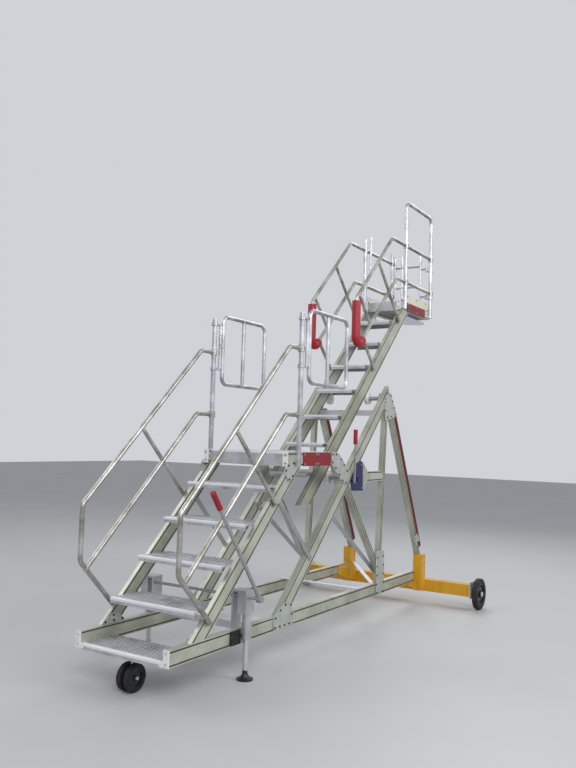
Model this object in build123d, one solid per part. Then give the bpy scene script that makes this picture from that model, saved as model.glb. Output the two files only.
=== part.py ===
from build123d import *
import os
from math import atan2, cos, hypot, radians, sin

# Millimetres, +Z up. x is measured here from the front ends of the base rails, y from the centre line
# and z from the floor; at the end the origin goes to the middle of the machine's length. +X is the way
# a person climbs, so the rear axle is at +X. "left" is +Y, "right" is -Y.

# The climb, shared by the fixed lower flight and the sliding upper flight
RISE, GOING = 250, 255
LOWER_NOSE = (5, 255)                 # x and z of the bottom tread's nose
LOWER_STEPS = 5                       # rises up to the landing
UPPER_NOSE = (1879, 1325)             # lowest tread of the sliding flight
UPPER_STEPS = 7                       # rises from it up to the platform

# Fits and joins
MOVING_GAP = 8                        # between pieces that move past each other
PIN_GAP = 0.05                        # running clearance on a pin's radius
TUBE_GAP = 0.08                       # running clearance of a tube sliding in a tube
CLAMP_GAP = 0.3                       # between a clamp's bore and the tube in it
WELD_IN = 1                           # how far a welded tube's end reaches into its neighbour
POST_IN = 10                          # post block from the beam's edges
PLATE_DROP = 15                       # red plate from the beam's top

# Extruded members: the thickness is across the machine, the depth is in the side view
RAIL_T, RAIL_H = 45, 105
STRINGER_T, STRINGER_H = 30, 108
SLIDER_H = 138                        # depth of the sliding stringers
LEG_W = 50
SLOT_W, SLOT_D, SLOT_IN = 9, 5, 13    # T-slot width, depth and distance from the edge
FLAT_T, FLAT_W = 6, 40                # flat bars
GUSSET_T = 8

# Base frame
RAIL_IN = 350                         # centre line to the inner face of a rail
RAIL_Z = 230
RAIL_LEN = 3650
SOCKET_SET, SOCKET_LEN = 88, 100      # from the rails' ends to the rear legs' sockets, and their length
SOCKET_X = (RAIL_LEN + SOCKET_SET, RAIL_LEN + SOCKET_SET + SOCKET_LEN)
CAP_T = 6
CAP_TAB = 28

# Treads
TREAD_D, TREAD_T = 300, 35
SKIN, HOOK = 5, 20                    # the folded plank's thickness and its turned-in lips
SLIDER_HALF = 181                     # centre line to the inner face of a sliding stringer

# How far each member's top edge lies square below its flight's nose line
LOWER_EDGE, SLIDER_EDGE, GUIDE_EDGE = 76, 60, 204

# Landing
LANDING_X = (1285, 2005)
LANDING_BEAM_X = (1250, 1990)
LANDING_PLATES = ((1465, 1668), (1672, 1900))    # red plates, from and to

# Round tube
TUBE_R, STRUT_R, POST_R = 17, 15, 19
TUBE_BEND = 60

# Platform at the top of the sliding flight
PLATFORM_X = (3664, 4390)
PLATFORM_BEAM_X0 = 3632
REAR_POST_X = 4368
PLATE_X0, PLATE_GAP, POST_BACK = 3797, 4, 106    # red plates: start, gap, and end to the rear post
plates_end = REAR_POST_X - POST_BACK
plate_len = (plates_end - PLATE_X0 - PLATE_GAP) // 2
PLATFORM_PLATES = ((PLATE_X0, plates_end - plate_len - PLATE_GAP), (plates_end - plate_len, plates_end))

SIDES = (1, -1)
NAMED_SIDES = (("left", 1), ("right", -1))

PITCH = hypot(RISE, GOING)
SLOPE = atan2(RISE, GOING)
RAIL_OUT = RAIL_IN + RAIL_T
RAIL_MID = RAIL_IN + RAIL_T / 2
RAIL_TOP = RAIL_Z + RAIL_H
LOWER_HALF = RAIL_OUT - STRINGER_T
HAND_Y = RAIL_OUT + FLAT_T + TUBE_R
SLIDER_OUT = SLIDER_HALF + STRINGER_T
UPPER_HAND_Y = SLIDER_OUT + FLAT_T + TUBE_R
LANDING_Z = LOWER_NOSE[1] + LOWER_STEPS * RISE
PLATFORM_Z = UPPER_NOSE[1] + UPPER_STEPS * RISE


def on_climb(nose, along, below):
    """The point so far up a nose line and so far square below it."""
    return (nose[0] + along * cos(SLOPE) + below * sin(SLOPE),
            nose[1] + along * sin(SLOPE) - below * cos(SLOPE))


def below_nose(nose, point):
    """How far a point lies square below a nose line."""
    return (point[0] - nose[0]) * sin(SLOPE) - (point[1] - nose[1]) * cos(SLOPE)


def side_plane(origin, along):
    """A plane square to a direction in the side view; both are (x, z)."""
    return Plane(origin=(origin[0], 0, origin[1]), x_dir=(0, 1, 0), z_dir=(along[0], 0, along[1]))


def keep_before(solid, origin, along):
    """What lies before a cut through origin that is square to along."""
    return split(solid, bisect_by=side_plane(origin, along), keep=Keep.BOTTOM)


def above(solid, z):
    return keep_before(solid, (0, z), (0, -1))


def below(solid, z):
    return keep_before(solid, (0, z), (0, 1))


def slotted(thick, depth):
    """The cross-section of an extruded member, with a T-slot by each edge of both faces."""
    shape = Rectangle(thick, depth)
    for face in SIDES:
        for edge in SIDES:
            centre = Pos(face * (thick - SLOT_D) / 2, edge * (depth / 2 - SLOT_IN))
            shape -= centre * Rectangle(SLOT_D, SLOT_W)
    return shape


def member(start, end, y, thick, depth):
    """An extruded member in the side view from start to end, both (x, z) on its middle line."""
    run = (end[0] - start[0], end[1] - start[1])
    plane = side_plane(start, run)
    return Pos(0, y, 0) * extrude(plane * slotted(thick, depth), hypot(*run))


def flat_bar(start, end, y_in, side, width=FLAT_W, thick=FLAT_T):
    """A flat bar in the side view, its inner face y_in from the centre line."""
    run = (end[0] - start[0], end[1] - start[1])
    plane = side_plane(start, run)
    return Pos(0, side * (y_in + thick / 2), 0) * extrude(plane * Rectangle(thick, width), hypot(*run))


def block(x, y, z):
    """A box given by its low and high limits on each axis."""
    size = (x[1] - x[0], y[1] - y[0], z[1] - z[0])
    return Pos((x[0] + x[1]) / 2, (y[0] + y[1]) / 2, (z[0] + z[1]) / 2) * Box(*size)


def side_block(x, y, z, side):
    """A box on one side of the machine, y measured outward from the centre line."""
    return block(x, sorted((side * y[0], side * y[1])), z)


def bar(start, end, radius):
    """A round bar between two points."""
    run = Vector(*end) - Vector(*start)
    return extrude(Plane(origin=start, z_dir=run) * Circle(radius), run.length)


def cross_pin(point, y, radius):
    """A round bar across the machine at (x, z), from one y to another."""
    return bar((point[0], y[0], point[1]), (point[0], y[1], point[1]), radius)


def stand_pin(x, y, z, radius):
    """An upright round bar, from one z to another."""
    return bar((x, y, z[0]), (x, y, z[1]), radius)


def tube_along(points, y, radius, bend=TUBE_BEND):
    """A round tube in the side view, bent at each inner point."""
    corners = [(x, y, z) for x, z in points]
    path = FilletPolyline(*corners, radius=bend) if len(corners) > 2 else Line(*corners)
    return sweep(Plane(origin=path @ 0, z_dir=path % 0) * Circle(radius), path=path)


def plate(points, y_in, side, thick):
    """A plate cut to an outline of (x, z) points, its inner face y_in from the centre line."""
    low = min(side * y_in, side * (y_in + thick))
    plane = Plane(origin=(0, low, 0), x_dir=(1, 0, 0), z_dir=(0, -1, 0))
    return extrude(plane * make_face(Polyline(*points, close=True)), -thick)


def group(shapes):
    """One node's solids."""
    return Compound([solid for shape in shapes for solid in shape.solids()])


def both(make):
    """The left and right copies of a piece."""
    return group([make(side) for side in SIDES])


parts = {}

# Base rails with end caps
parts["base_rails"] = both(
    lambda s: member((0, RAIL_Z + RAIL_H / 2), (RAIL_LEN, RAIL_Z + RAIL_H / 2), s * RAIL_MID, RAIL_T, RAIL_H))


def end_cap(x, y, z, side):
    return side_block((x - CAP_T, x), y, z, side)


def front_cap(side):
    """A rail's front cap with its tab under the bottom tread's edge."""
    tab = end_cap(0, (RAIL_IN - CAP_TAB, RAIL_IN), (RAIL_Z, RAIL_Z + CAP_TAB), side)
    return end_cap(0, (RAIL_IN, RAIL_OUT), (RAIL_Z, RAIL_TOP), side) + tab


LANDING_BEAM_Z = (LANDING_Z - RAIL_H, LANDING_Z)
parts["white_end_caps"] = group(
    [front_cap(side) for side in SIDES]
    + [end_cap(LANDING_BEAM_X[0], (RAIL_IN, RAIL_OUT), LANDING_BEAM_Z, side) for side in SIDES])
parts["black_end_caps"] = both(
    lambda s: end_cap(RAIL_LEN + CAP_T, (RAIL_IN, RAIL_OUT), (RAIL_Z, RAIL_TOP), s))


def tread(nose, half):
    """A folded plank, open underneath, that reaches half its length to each side."""
    x, z = nose
    back, foot = x + TREAD_D, z - TREAD_T
    outline = ((x, z), (back, z), (back, foot), (back - HOOK, foot), (back - HOOK, foot + SKIN),
               (back - SKIN, foot + SKIN), (back - SKIN, z - SKIN), (x + SKIN, z - SKIN),
               (x + SKIN, foot + SKIN), (x + HOOK, foot + SKIN), (x + HOOK, foot), (x, foot))
    return plate(outline, -half, 1, 2 * half)


def treads(nose, steps, half):
    return group([tread((nose[0] + n * GOING, nose[1] + n * RISE), half) for n in steps])


def inclined(nose, edge, depth, y, thick, steps):
    """A member parallel to the climb, its top edge so far below the nose line."""
    ends = [on_climb(nose, n * PITCH, edge + depth / 2) for n in steps]
    return member(*ends, y, thick, depth)


# Lower flight, fixed on the base rails
parts["lower_treads"] = group(
    [tread(LOWER_NOSE, RAIL_IN), treads(LOWER_NOSE, range(1, LOWER_STEPS), LOWER_HALF)])
parts["lower_stringers"] = both(
    lambda s: above(below(inclined(LOWER_NOSE, LOWER_EDGE, STRINGER_H, s * (RAIL_OUT - STRINGER_T / 2),
                                   STRINGER_T, (-1, LOWER_STEPS + 1)), LANDING_BEAM_Z[0]), RAIL_TOP))

# Landing: side beams, red plates, and a deck between the beams on cross beams
CROSS_W, CROSS_REAR = 40, 1880


def level_beam(x, z_top, y, side):
    """A slotted beam along the machine; y is its outer face."""
    z = z_top - RAIL_H / 2
    return member((x[0], z), (x[1], z), side * (y - RAIL_T / 2), RAIL_T, RAIL_H)


def side_plates(spans, y, z):
    return group([side_block(span, (y, y + GUSSET_T), z, side) for side in SIDES for span in spans])


def decking(x, z, half, cross_beams):
    """A deck plank set between two beams, with the cross beams under it."""
    top = block(x, (-half, half), (z - TREAD_T, z))
    for front in cross_beams:
        top += block((front, front + CROSS_W), (-half, half), (z - RAIL_H, z - TREAD_T))
    return top


parts["landing_beams"] = both(lambda s: level_beam(LANDING_BEAM_X, LANDING_Z, RAIL_OUT, s))
parts["landing_side_plates"] = side_plates(LANDING_PLATES, RAIL_OUT, LANDING_BEAM_Z)
parts["landing_deck"] = decking(LANDING_X, LANDING_Z, RAIL_IN, (LANDING_X[0], CROSS_REAR))

# Posts, each with a block that is bolted to its beam
POST_BLOCK = 50
POST_X, POST_TOP = 1360, 2565
POST_Z = (LANDING_Z - RAIL_H + POST_IN, LANDING_Z - POST_IN)
COLLAR_R, COLLAR_H = 27, 50


def post_block(x, y, z, side):
    """The mounting block of a post, from the beam's face to the post's axis."""
    return side_block((x - POST_BLOCK / 2, x + POST_BLOCK / 2), y, z, side)


def post(x, y, z, top, side):
    return post_block(x, y, z, side) + stand_pin(x, side * y[1], (z[0], top), POST_R)


def collar(x, y, z, height=COLLAR_H):
    """A clamp round a post."""
    return Pos(x, y, z) * (Cylinder(COLLAR_R, height) - Cylinder(POST_R + CLAMP_GAP, height))


# Side gates: a sleeve turns on a pin that two arms hold off the landing post
GATE_PIN_X, GATE_PIN_R, SLEEVE_R = 1440, 8, 14
GATE_X, GATE_Z = (1475, 2086), (2039, 2602)
GATE_BAR_X, GATE_R = 1765, 16
SLEEVE_Z = (2161, 2515)
ARM_T, ARM_W, ARM_COLLAR_H = 12, 20, 24
GATE_TAB_Z, GATE_TAB_H, GATE_TAB_T = (2200, 2470), 30, 12


def gate_pin(side):
    y = side * HAND_Y
    low = SLEEVE_Z[0] - CLAMP_GAP - ARM_T
    high = SLEEVE_Z[1] + CLAMP_GAP
    pin = stand_pin(GATE_PIN_X, y, (low, high + ARM_T), GATE_PIN_R)
    for z in (low, high):
        arm = block((POST_X, GATE_PIN_X), (y - ARM_W / 2, y + ARM_W / 2), (z, z + ARM_T))
        arm += stand_pin(GATE_PIN_X, y, (z, z + ARM_T), ARM_W / 2)
        pin += arm - Pos(POST_X, y, z + ARM_T / 2) * Cylinder(POST_R + CLAMP_GAP, ARM_T)
        pin += collar(POST_X, y, z + ARM_T / 2, ARM_COLLAR_H)
    return pin


def side_gate(side):
    """A frame of bent tube with one bar, and its hinge sleeve on two tabs."""
    y = side * HAND_Y
    corners = [(x, y, z) for x, z in ((GATE_X[0], GATE_Z[0]), (GATE_X[1], GATE_Z[0]),
                                      (GATE_X[1], GATE_Z[1]), (GATE_X[0], GATE_Z[1]))]
    path = FilletPolyline(*corners, radius=TUBE_BEND, close=True)
    gate = sweep(Plane(origin=path @ 0, z_dir=path % 0) * Circle(GATE_R), path=path)
    gate += stand_pin(GATE_BAR_X, y, GATE_Z, GATE_R)
    sleeve = stand_pin(GATE_PIN_X, y, SLEEVE_Z, SLEEVE_R)
    for z in GATE_TAB_Z:
        sleeve += block((GATE_PIN_X, GATE_X[0]), (y - GATE_TAB_T / 2, y + GATE_TAB_T / 2),
                        (z - GATE_TAB_H / 2, z + GATE_TAB_H / 2))
    gate += sleeve
    return gate - stand_pin(GATE_PIN_X, y, SLEEVE_Z, GATE_PIN_R + PIN_GAP)


parts["landing_posts"] = group(
    [post(POST_X, (RAIL_OUT, HAND_Y), POST_Z, POST_TOP, side) for side in SIDES]
    + [gate_pin(side) for side in SIDES])
for name, side in NAMED_SIDES:
    parts[f"side_gate_{name}"] = side_gate(side)

# Handrails. On each side a tube comes level off its post, runs down parallel to the climb and drops
# upright at the front. On the lower flight it turns square to the climb down to the stringer, and
# the middle rail is a second tube; on the upper flight it bends back up as the middle rail.
# Straight struts are welded in. Struts are (along, from, to).
FOOT_IN, LUG_T, LUG_IN = 40, 10, 24
HANDRAILS = {
    "lower": dict(
        nose=LOWER_NOSE, edge=LOWER_EDGE, top=(1200, 2290), middle=(1170, 1785), front=25, leg=371,
        struts=((1375, "top", "foot"),),
        post=POST_X, y=HAND_Y, face=RAIL_OUT),
    "upper": dict(
        nose=UPPER_NOSE, edge=SLIDER_EDGE, top=(3349, 3642), middle=(3462, 3258), front=2601, leg=None,
        struts=((1473, "middle", "foot"), (1690, "top", "middle"), (2243, "top", "foot")),
        post=3690, y=UPPER_HAND_Y, face=SLIDER_OUT),
}


def down_climb(point, x):
    """The point at x on the line through a point that is parallel to the climb."""
    return (x, point[1] - (point[0] - x) * RISE / GOING)


def handrail(rail, side):
    nose, y = rail["nose"], side * rail["y"]
    levels = {"top": below_nose(nose, rail["top"]), "middle": below_nose(nose, rail["middle"]),
              "foot": rail["edge"] + FOOT_IN}
    feet = [along for along, start, end in rail["struts"] if end == "foot"]
    at_post = rail["post"] - POST_R - WELD_IN
    upper_run = ((at_post, rail["top"][1]), rail["top"], down_climb(rail["top"], rail["front"]))
    lower_run = (rail["middle"], (at_post, rail["middle"][1]))
    if rail["leg"] is None:
        tube = tube_along((*upper_run, down_climb(rail["middle"], rail["front"]), *lower_run), y, TUBE_R)
    else:
        feet.append(rail["leg"])
        leg = [on_climb(nose, rail["leg"], levels[level]) for level in ("top", "middle", "foot")]
        corner = (rail["front"], leg[0][1] - (rail["front"] - leg[0][0]) * GOING / RISE)
        tube = tube_along((*upper_run, corner, leg[2]), y, TUBE_R)
        tube += tube_along((leg[1], *lower_run), y, TUBE_R)
    for along, start, end in rail["struts"]:
        tube += tube_along([on_climb(nose, along, levels[level]) for level in (start, end)], y, STRUT_R)
    for along in feet:
        lug = [on_climb(nose, along, levels["foot"] + shift) for shift in (-FOOT_IN - LUG_IN, LUG_IN / 2)]
        tube += flat_bar(*lug, rail["face"], side, FLAT_W, LUG_T)
    for level in ("top", "middle"):
        tube += collar(rail["post"], y, rail[level][1])
    return tube


for flight, rail in HANDRAILS.items():
    for name, side in NAMED_SIDES:
        parts[f"{flight}_handrail_{name}"] = handrail(rail, side)

# A-frames: guide leg parallel to the climb, upright leg, and rear leg raking down to the axle
HEAD_X = 2985
UPRIGHT = ((2850, RAIL_TOP), (2955, 2020))
REAR_LEG = ((2960, 2079), (SOCKET_X[0] + 40, 484))
GUIDE_UNDER = on_climb(UPPER_NOSE, 0, GUIDE_EDGE + STRINGER_H)
UNDERSIDE = (-sin(SLOPE), cos(SLOPE))
UPRIGHT_RUN = (UPRIGHT[1][0] - UPRIGHT[0][0], UPRIGHT[1][1] - UPRIGHT[0][1])
UPRIGHT_LEAN = hypot(*UPRIGHT_RUN)
UPRIGHT_SQUARE = (UPRIGHT_RUN[1] / UPRIGHT_LEAN, -UPRIGHT_RUN[0] / UPRIGHT_LEAN)
UPRIGHT_FACE = tuple(at - way * LEG_W / 2 for at, way in zip(UPRIGHT[0], UPRIGHT_SQUARE))


def extended(ends, extra):
    """Both ends of a line, moved out by so much."""
    (x0, z0), (x1, z1) = ends
    share = extra / hypot(x1 - x0, z1 - z0)
    over_x, over_z = (x1 - x0) * share, (z1 - z0) * share
    return ((x0 - over_x, z0 - over_z), (x1 + over_x, z1 + over_z))


def under_guide(solid):
    """What is left of a solid below the underside of the guide legs."""
    return keep_before(solid, GUIDE_UNDER, UNDERSIDE)


def between_legs(solid):
    """What is left of a solid between the guide leg and the upright."""
    return keep_before(under_guide(solid), UPRIGHT_FACE, UPRIGHT_SQUARE)


SOCKET_TOP = REAR_LEG[1][1]
parts["guide_legs"] = both(
    lambda s: keep_before(above(inclined(UPPER_NOSE, GUIDE_EDGE, STRINGER_H, s * RAIL_MID, RAIL_T, (-4, 4)),
                                RAIL_TOP), (HEAD_X, 0), (1, 0)))
parts["upright_legs"] = both(
    lambda s: above(under_guide(member(*extended(UPRIGHT, LEG_W), s * RAIL_MID, RAIL_T, LEG_W)), RAIL_TOP))
parts["rear_legs"] = both(
    lambda s: keep_before(above(member(*extended(REAR_LEG, LEG_W), s * RAIL_MID, RAIL_T, LEG_W), SOCKET_TOP),
                          (HEAD_X, 0), (-1, 0)))

# Gusset plates on the outside of the frames
GUSSETS = {
    "stringer foot": ((190, 300), (190, 345), (240, 392), (330, 392), (425, 345), (425, 300)),
    "stringer head": ((1197, 1370), (1258, 1440), (1330, 1440), (1330, 1392), (1320, 1317), (1256, 1289)),
    "guide foot": ((1112, 240), (1112, 330), (1236, 416), (1345, 400), (1364, 323), (1364, 240)),
    "landing": ((1904, 1500), (2020, 1500), (2110, 1430), (2215, 1330), (2170, 1235), (2085, 1265),
                (1904, 1410)),
    "apex": ((2888, 2005), (2955, 2072), (3025, 2052), (3150, 1860), (3090, 1830), (2900, 1800)),
    "upright foot": ((2772, RAIL_Z), (2948, RAIL_Z), (2930, 615), (2785, 615)),
    "red strut foot": ((RAIL_LEN - 10, 655), (RAIL_LEN + 75, 700), (RAIL_LEN + 115, 620),
                       (RAIL_LEN + 30, 580)),
}
parts["frame_gussets"] = group([
    plate(outline, RAIL_OUT, side, GUSSET_T) for outline in GUSSETS.values() for side in SIDES])

# Braces of the frames
STRUT = ((2185, 1241), (2870, 419))
INNER_FLAT = ((1960, 1024), (2850, 425))
OUTER_FLAT = ((1150, 1150), (1615, 684))
RED_STRUT = ((3112, 1910), (SOCKET_X[0] + 62, 560))
frame_struts = both(lambda s: between_legs(member(*extended(STRUT, LEG_W), s * RAIL_MID, RAIL_T, LEG_W)))
parts["frame_flats"] = group(
    [flat_bar(*INNER_FLAT, RAIL_IN - FLAT_T, side) for side in SIDES]
    + [flat_bar(*OUTER_FLAT, RAIL_OUT, side) for side in SIDES])
parts["red_struts"] = both(lambda s: member(*RED_STRUT, s * RAIL_MID, RAIL_T, LEG_W))

# Cross members: folded plate, flat bar and diagonal of the base, and the tie between the frames' heads
CROSS_PLATE_X, CROSS_FLANGE = (825, 1040), 50
CROSS_BAR_X = (2406, 2466)
DIAGONAL = ((2796, -RAIL_IN), (SOCKET_X[0] + 52, RAIL_IN))
DIAGONAL_Z = (324, 332)
TIE = (2985, 1870)
cross_plate = block(CROSS_PLATE_X, (-RAIL_IN, RAIL_IN), (RAIL_TOP - FLAT_T, RAIL_TOP))
for x in (CROSS_PLATE_X[0], CROSS_PLATE_X[1] - FLAT_T):
    cross_plate += block((x, x + FLAT_T), (-RAIL_IN, RAIL_IN), (RAIL_TOP - CROSS_FLANGE, RAIL_TOP))
run = Vector(DIAGONAL[1][0] - DIAGONAL[0][0], DIAGONAL[1][1] - DIAGONAL[0][1], 0)
middle = Vector(sum(x for x, y in DIAGONAL) / 2, sum(y for x, y in DIAGONAL) / 2, sum(DIAGONAL_Z) / 2)
diagonal_plane = Plane(origin=middle, x_dir=(0, 0, 1), z_dir=run)
diagonal_section = diagonal_plane * Rectangle(DIAGONAL_Z[1] - DIAGONAL_Z[0], FLAT_W)
diagonal = extrude(diagonal_section, run.length / 2 + FLAT_W, both=True)
diagonal &= block((DIAGONAL[0][0] - FLAT_W, DIAGONAL[1][0] + FLAT_W), (-RAIL_IN, RAIL_IN), DIAGONAL_Z)
parts["cross_members"] = group([
    cross_plate, diagonal,
    block(CROSS_BAR_X, (-RAIL_OUT, RAIL_OUT), (RAIL_TOP, RAIL_TOP + GUSSET_T)),
    block((TIE[0] - LEG_W, TIE[0]), (-RAIL_IN, RAIL_IN), (TIE[1] - LEG_W / 2, TIE[1] + LEG_W / 2))])

# Rear axle: box beam, sockets for the rear legs, and tapered arms bolted inside the rails
AXLE_LEN, AXLE_Z, AXLE_HALF = 100, (115, 230), 905
SOCKET_OUT, SOCKET_Z0 = 440, 130
ARM_BACK, AXLE_ARM_T = 200, 12
END_HALF, END_Z, END_T = 64, (98, 258), 10
WHEEL_GAP, WHEEL_R, WHEEL_W = 40, 148, 50
AXLE_X = (SOCKET_X[1], SOCKET_X[1] + AXLE_LEN)
AXLE_ARM = ((RAIL_LEN - ARM_BACK, 238), (RAIL_LEN - ARM_BACK, 323), (SOCKET_X[1], 323), (SOCKET_X[1], 130),
            (SOCKET_X[0] + 42, 144))
WHEEL_X, WHEEL_Y = sum(AXLE_X) / 2, AXLE_HALF + END_T + WHEEL_GAP + WHEEL_W / 2
RIM_R, RIM_T, WEB_T, HUB_BOSS_R, STUB_R = 100, 12, 16, 30, 15
TYRE_SHOULDER = 10
NUT_R, NUT_T = 24, 10
axle = block(AXLE_X, (-AXLE_HALF, AXLE_HALF), AXLE_Z)
for side in SIDES:
    axle += side_block(SOCKET_X, (RAIL_IN, SOCKET_OUT), (SOCKET_Z0, SOCKET_TOP), side)
    axle += plate(AXLE_ARM, RAIL_IN - AXLE_ARM_T, side, AXLE_ARM_T)
parts["rear_axle"] = axle


def axle_end(side):
    """The plate on the end of the axle beam, with the wheel's stub and its nut."""
    outer = WHEEL_Y + WHEEL_W / 2 + CLAMP_GAP
    stub = cross_pin((WHEEL_X, WHEEL_R), (side * AXLE_HALF, side * outer), STUB_R)
    nut = cross_pin((WHEEL_X, WHEEL_R), (side * outer, side * (outer + NUT_T)), NUT_R)
    end = side_block((WHEEL_X - END_HALF, WHEEL_X + END_HALF), (AXLE_HALF, AXLE_HALF + END_T), END_Z, side)
    return end + stub + nut


parts["axle_end_plates"] = both(axle_end)


def tyre(radius, width, inner, shoulder):
    """A tyre on the Y axis with rounded shoulders."""
    section = Pos((radius + inner) / 2, 0) * Rectangle(radius - inner, width)
    outer = section.vertices().filter_by(lambda v: v.X > (radius + inner) / 2)
    return revolve(fillet(outer, shoulder), Axis.Y)


def wheel_centre(radius, width, boss, bore, rim, web):
    """A wheel centre on the Y axis: rim, web and boss round a bored hole."""
    spans = ((bore, boss, width), (boss, radius - rim, web), (radius - rim, radius, width - web / 2))
    shape = Sketch()
    for inner, outer, across in spans:
        shape += Pos((inner + outer) / 2, 0) * Rectangle(outer - inner, across)
    return revolve(shape, Axis.Y)


for name, side in NAMED_SIDES:
    place = Pos(WHEEL_X, side * WHEEL_Y, WHEEL_R)
    parts[f"rear_tyre_{name}"] = place * tyre(WHEEL_R, WHEEL_W, RIM_R, TYRE_SHOULDER)
    hub = wheel_centre(RIM_R, WHEEL_W, HUB_BOSS_R, STUB_R + PIN_GAP, RIM_T, WEB_T)
    parts[f"rear_hub_{name}"] = place * hub

# Front caster: mounting plate in the bottom tread, swivelling fork, twin wheels on one spindle
CASTER_X, CASTER_TRAIL, CASTER_R = 150, 46, 88
CASTER_W, CASTER_Y, CASTER_RIM = 34, 31, 62
CASTER_RIM_T, CASTER_WEB_T, CASTER_SHOULDER = 8, 10, 8
CASTER_HALF, RACE_R, RACE_H = 50, 38, 18
SPINDLE_R, CASTER_BOSS_R = 10, 20
FORK_T, FORK_R, FORK_EYE = 12, 40, 20
plate_z = (LOWER_NOSE[1] - TREAD_T - GUSSET_T, LOWER_NOSE[1] - TREAD_T)
fork_top = plate_z[0] - RACE_H - CLAMP_GAP
caster_plate = block((CASTER_X - CASTER_HALF, CASTER_X + CASTER_HALF), (-CASTER_HALF, CASTER_HALF), plate_z)
caster_plate += block((CASTER_X - FORK_R, CASTER_X + FORK_R), (-FORK_R, FORK_R),
                      (plate_z[1], LOWER_NOSE[1] - SKIN))
caster_plate += bar((CASTER_X, 0, plate_z[0] - RACE_H), (CASTER_X, 0, plate_z[0]), RACE_R)
parts["caster_plate"] = caster_plate
axle_at = (CASTER_X - CASTER_TRAIL, CASTER_R)
fork_leg = ((CASTER_X - FORK_R, fork_top), (CASTER_X + FORK_R, fork_top), (axle_at[0] + FORK_EYE, axle_at[1]),
            (axle_at[0] - FORK_EYE, axle_at[1]))
fork = stand_pin(CASTER_X, 0, (fork_top - GUSSET_T, fork_top), FORK_R)
fork += plate(fork_leg, -FORK_T / 2, 1, FORK_T) + cross_pin(axle_at, (-FORK_T / 2, FORK_T / 2), FORK_EYE)
spindle_end = CASTER_Y + CASTER_W / 2 + GUSSET_T
parts["caster_fork"] = fork + cross_pin(axle_at, (-spindle_end, spindle_end), SPINDLE_R)


def twin(make):
    """A left and a right copy on the caster's spindle."""
    return both(lambda s: Pos(axle_at[0], s * CASTER_Y, axle_at[1]) * make)


parts["caster_tyres"] = twin(tyre(CASTER_R, CASTER_W, CASTER_RIM, CASTER_SHOULDER))
parts["caster_hubs"] = twin(
    wheel_centre(CASTER_RIM, CASTER_W, CASTER_BOSS_R, SPINDLE_R + PIN_GAP, CASTER_RIM_T, CASTER_WEB_T))

# Jacks: a housing bolted to each rail, a foot tube in it, and the lever shaft across the machine
JACK_X, JACK_Y, JACK_TRAVEL = 727, 433, 90
OUTER_R, JACK_R = 29, 18
JACK_FOOT_R, JACK_FOOT_T, BELL_R, BELL_MID = 56, 10, 50, (27, 26)
OUTER_Z, HOUSING_X, HOUSING_TOP, HOUSING_T = (264, 436), (664, 762), 590, 12
FOOT_TUBE_Z, JACK_COLLAR_Z, JACK_COLLAR_R = (62, 476), (200, 222), 23
HOUSING_HALF = 32
JACK_LINK_Z, JACK_BRACKET_X, JACK_BRACKET_Z0 = (300, 330), (700, 835), 237
SHAFT, SHAFT_R, SHAFT_BOSS_R = (690, 548), 10, 24
LEVER_Y, LEVER_R, LEVER_LEN, LEVER_DEG = 560, 13, 900, 127
GRIP_LEN, GRIP_R, LEVER_BOSS = 130, 19, 18


def jack_housing(side):
    across = (JACK_Y - HOUSING_HALF, JACK_Y + HOUSING_HALF)
    body = side_block(HOUSING_X, across, (OUTER_Z[1], HOUSING_TOP), side)
    body += side_block(HOUSING_X, (RAIL_IN, JACK_Y), (HOUSING_TOP - HOUSING_T, HOUSING_TOP), side)
    body += side_block(HOUSING_X, (RAIL_IN, RAIL_IN + HOUSING_T), (RAIL_TOP, HOUSING_TOP), side)
    body += side_block((JACK_X - OUTER_R, JACK_X + OUTER_R), (RAIL_OUT, JACK_Y), JACK_LINK_Z, side)
    body += side_block(
        JACK_BRACKET_X, (RAIL_OUT, RAIL_OUT + GUSSET_T), (JACK_BRACKET_Z0, JACK_LINK_Z[1]), side)
    body += stand_pin(JACK_X, side * JACK_Y, OUTER_Z, OUTER_R)
    bore_top = FOOT_TUBE_Z[1] + JACK_TRAVEL + MOVING_GAP
    body -= stand_pin(JACK_X, side * JACK_Y, (OUTER_Z[0], bore_top), JACK_R + TUBE_GAP)
    return body - cross_pin(SHAFT, (0, side * LEVER_Y), SHAFT_R + PIN_GAP)


def jack_foot(side):
    """A turned bell foot on the end of its tube, with a collar."""
    rim, neck = (BELL_R, JACK_FOOT_T), (JACK_R, FOOT_TUBE_Z[0])
    curve = ThreePointArc(rim, BELL_MID, neck)
    edge = Polyline(neck, (0, neck[1]), (0, 0), (JACK_FOOT_R, 0), (JACK_FOOT_R, JACK_FOOT_T), rim)
    foot = revolve(Plane.XZ * make_face([curve, edge]), Axis.Z)
    foot += stand_pin(0, 0, [z - JACK_TRAVEL for z in JACK_COLLAR_Z], JACK_COLLAR_R)
    return Pos(JACK_X, side * JACK_Y, 0) * (foot + stand_pin(0, 0, FOOT_TUBE_Z, JACK_R))


parts["jack_housings"] = both(jack_housing)
for name, side in NAMED_SIDES:
    parts[f"jack_foot_{name}"] = jack_foot(side)


def on_lever(length):
    """A point on the lever's axis, so far from the shaft."""
    angle = radians(LEVER_DEG)
    return (SHAFT[0] + length * cos(angle), -LEVER_Y, SHAFT[1] + length * sin(angle))


lever = cross_pin(SHAFT, (JACK_Y + HOUSING_HALF + LEVER_BOSS, -LEVER_Y - LEVER_BOSS), SHAFT_R)
lever += cross_pin(SHAFT, (-LEVER_Y + LEVER_BOSS, -LEVER_Y - LEVER_BOSS), SHAFT_BOSS_R)
parts["jack_lever"] = lever + bar(on_lever(0), on_lever(LEVER_LEN - GRIP_LEN), LEVER_R)
parts["jack_lever_grip"] = bar(on_lever(LEVER_LEN - GRIP_LEN), on_lever(LEVER_LEN), GRIP_R)

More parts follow.
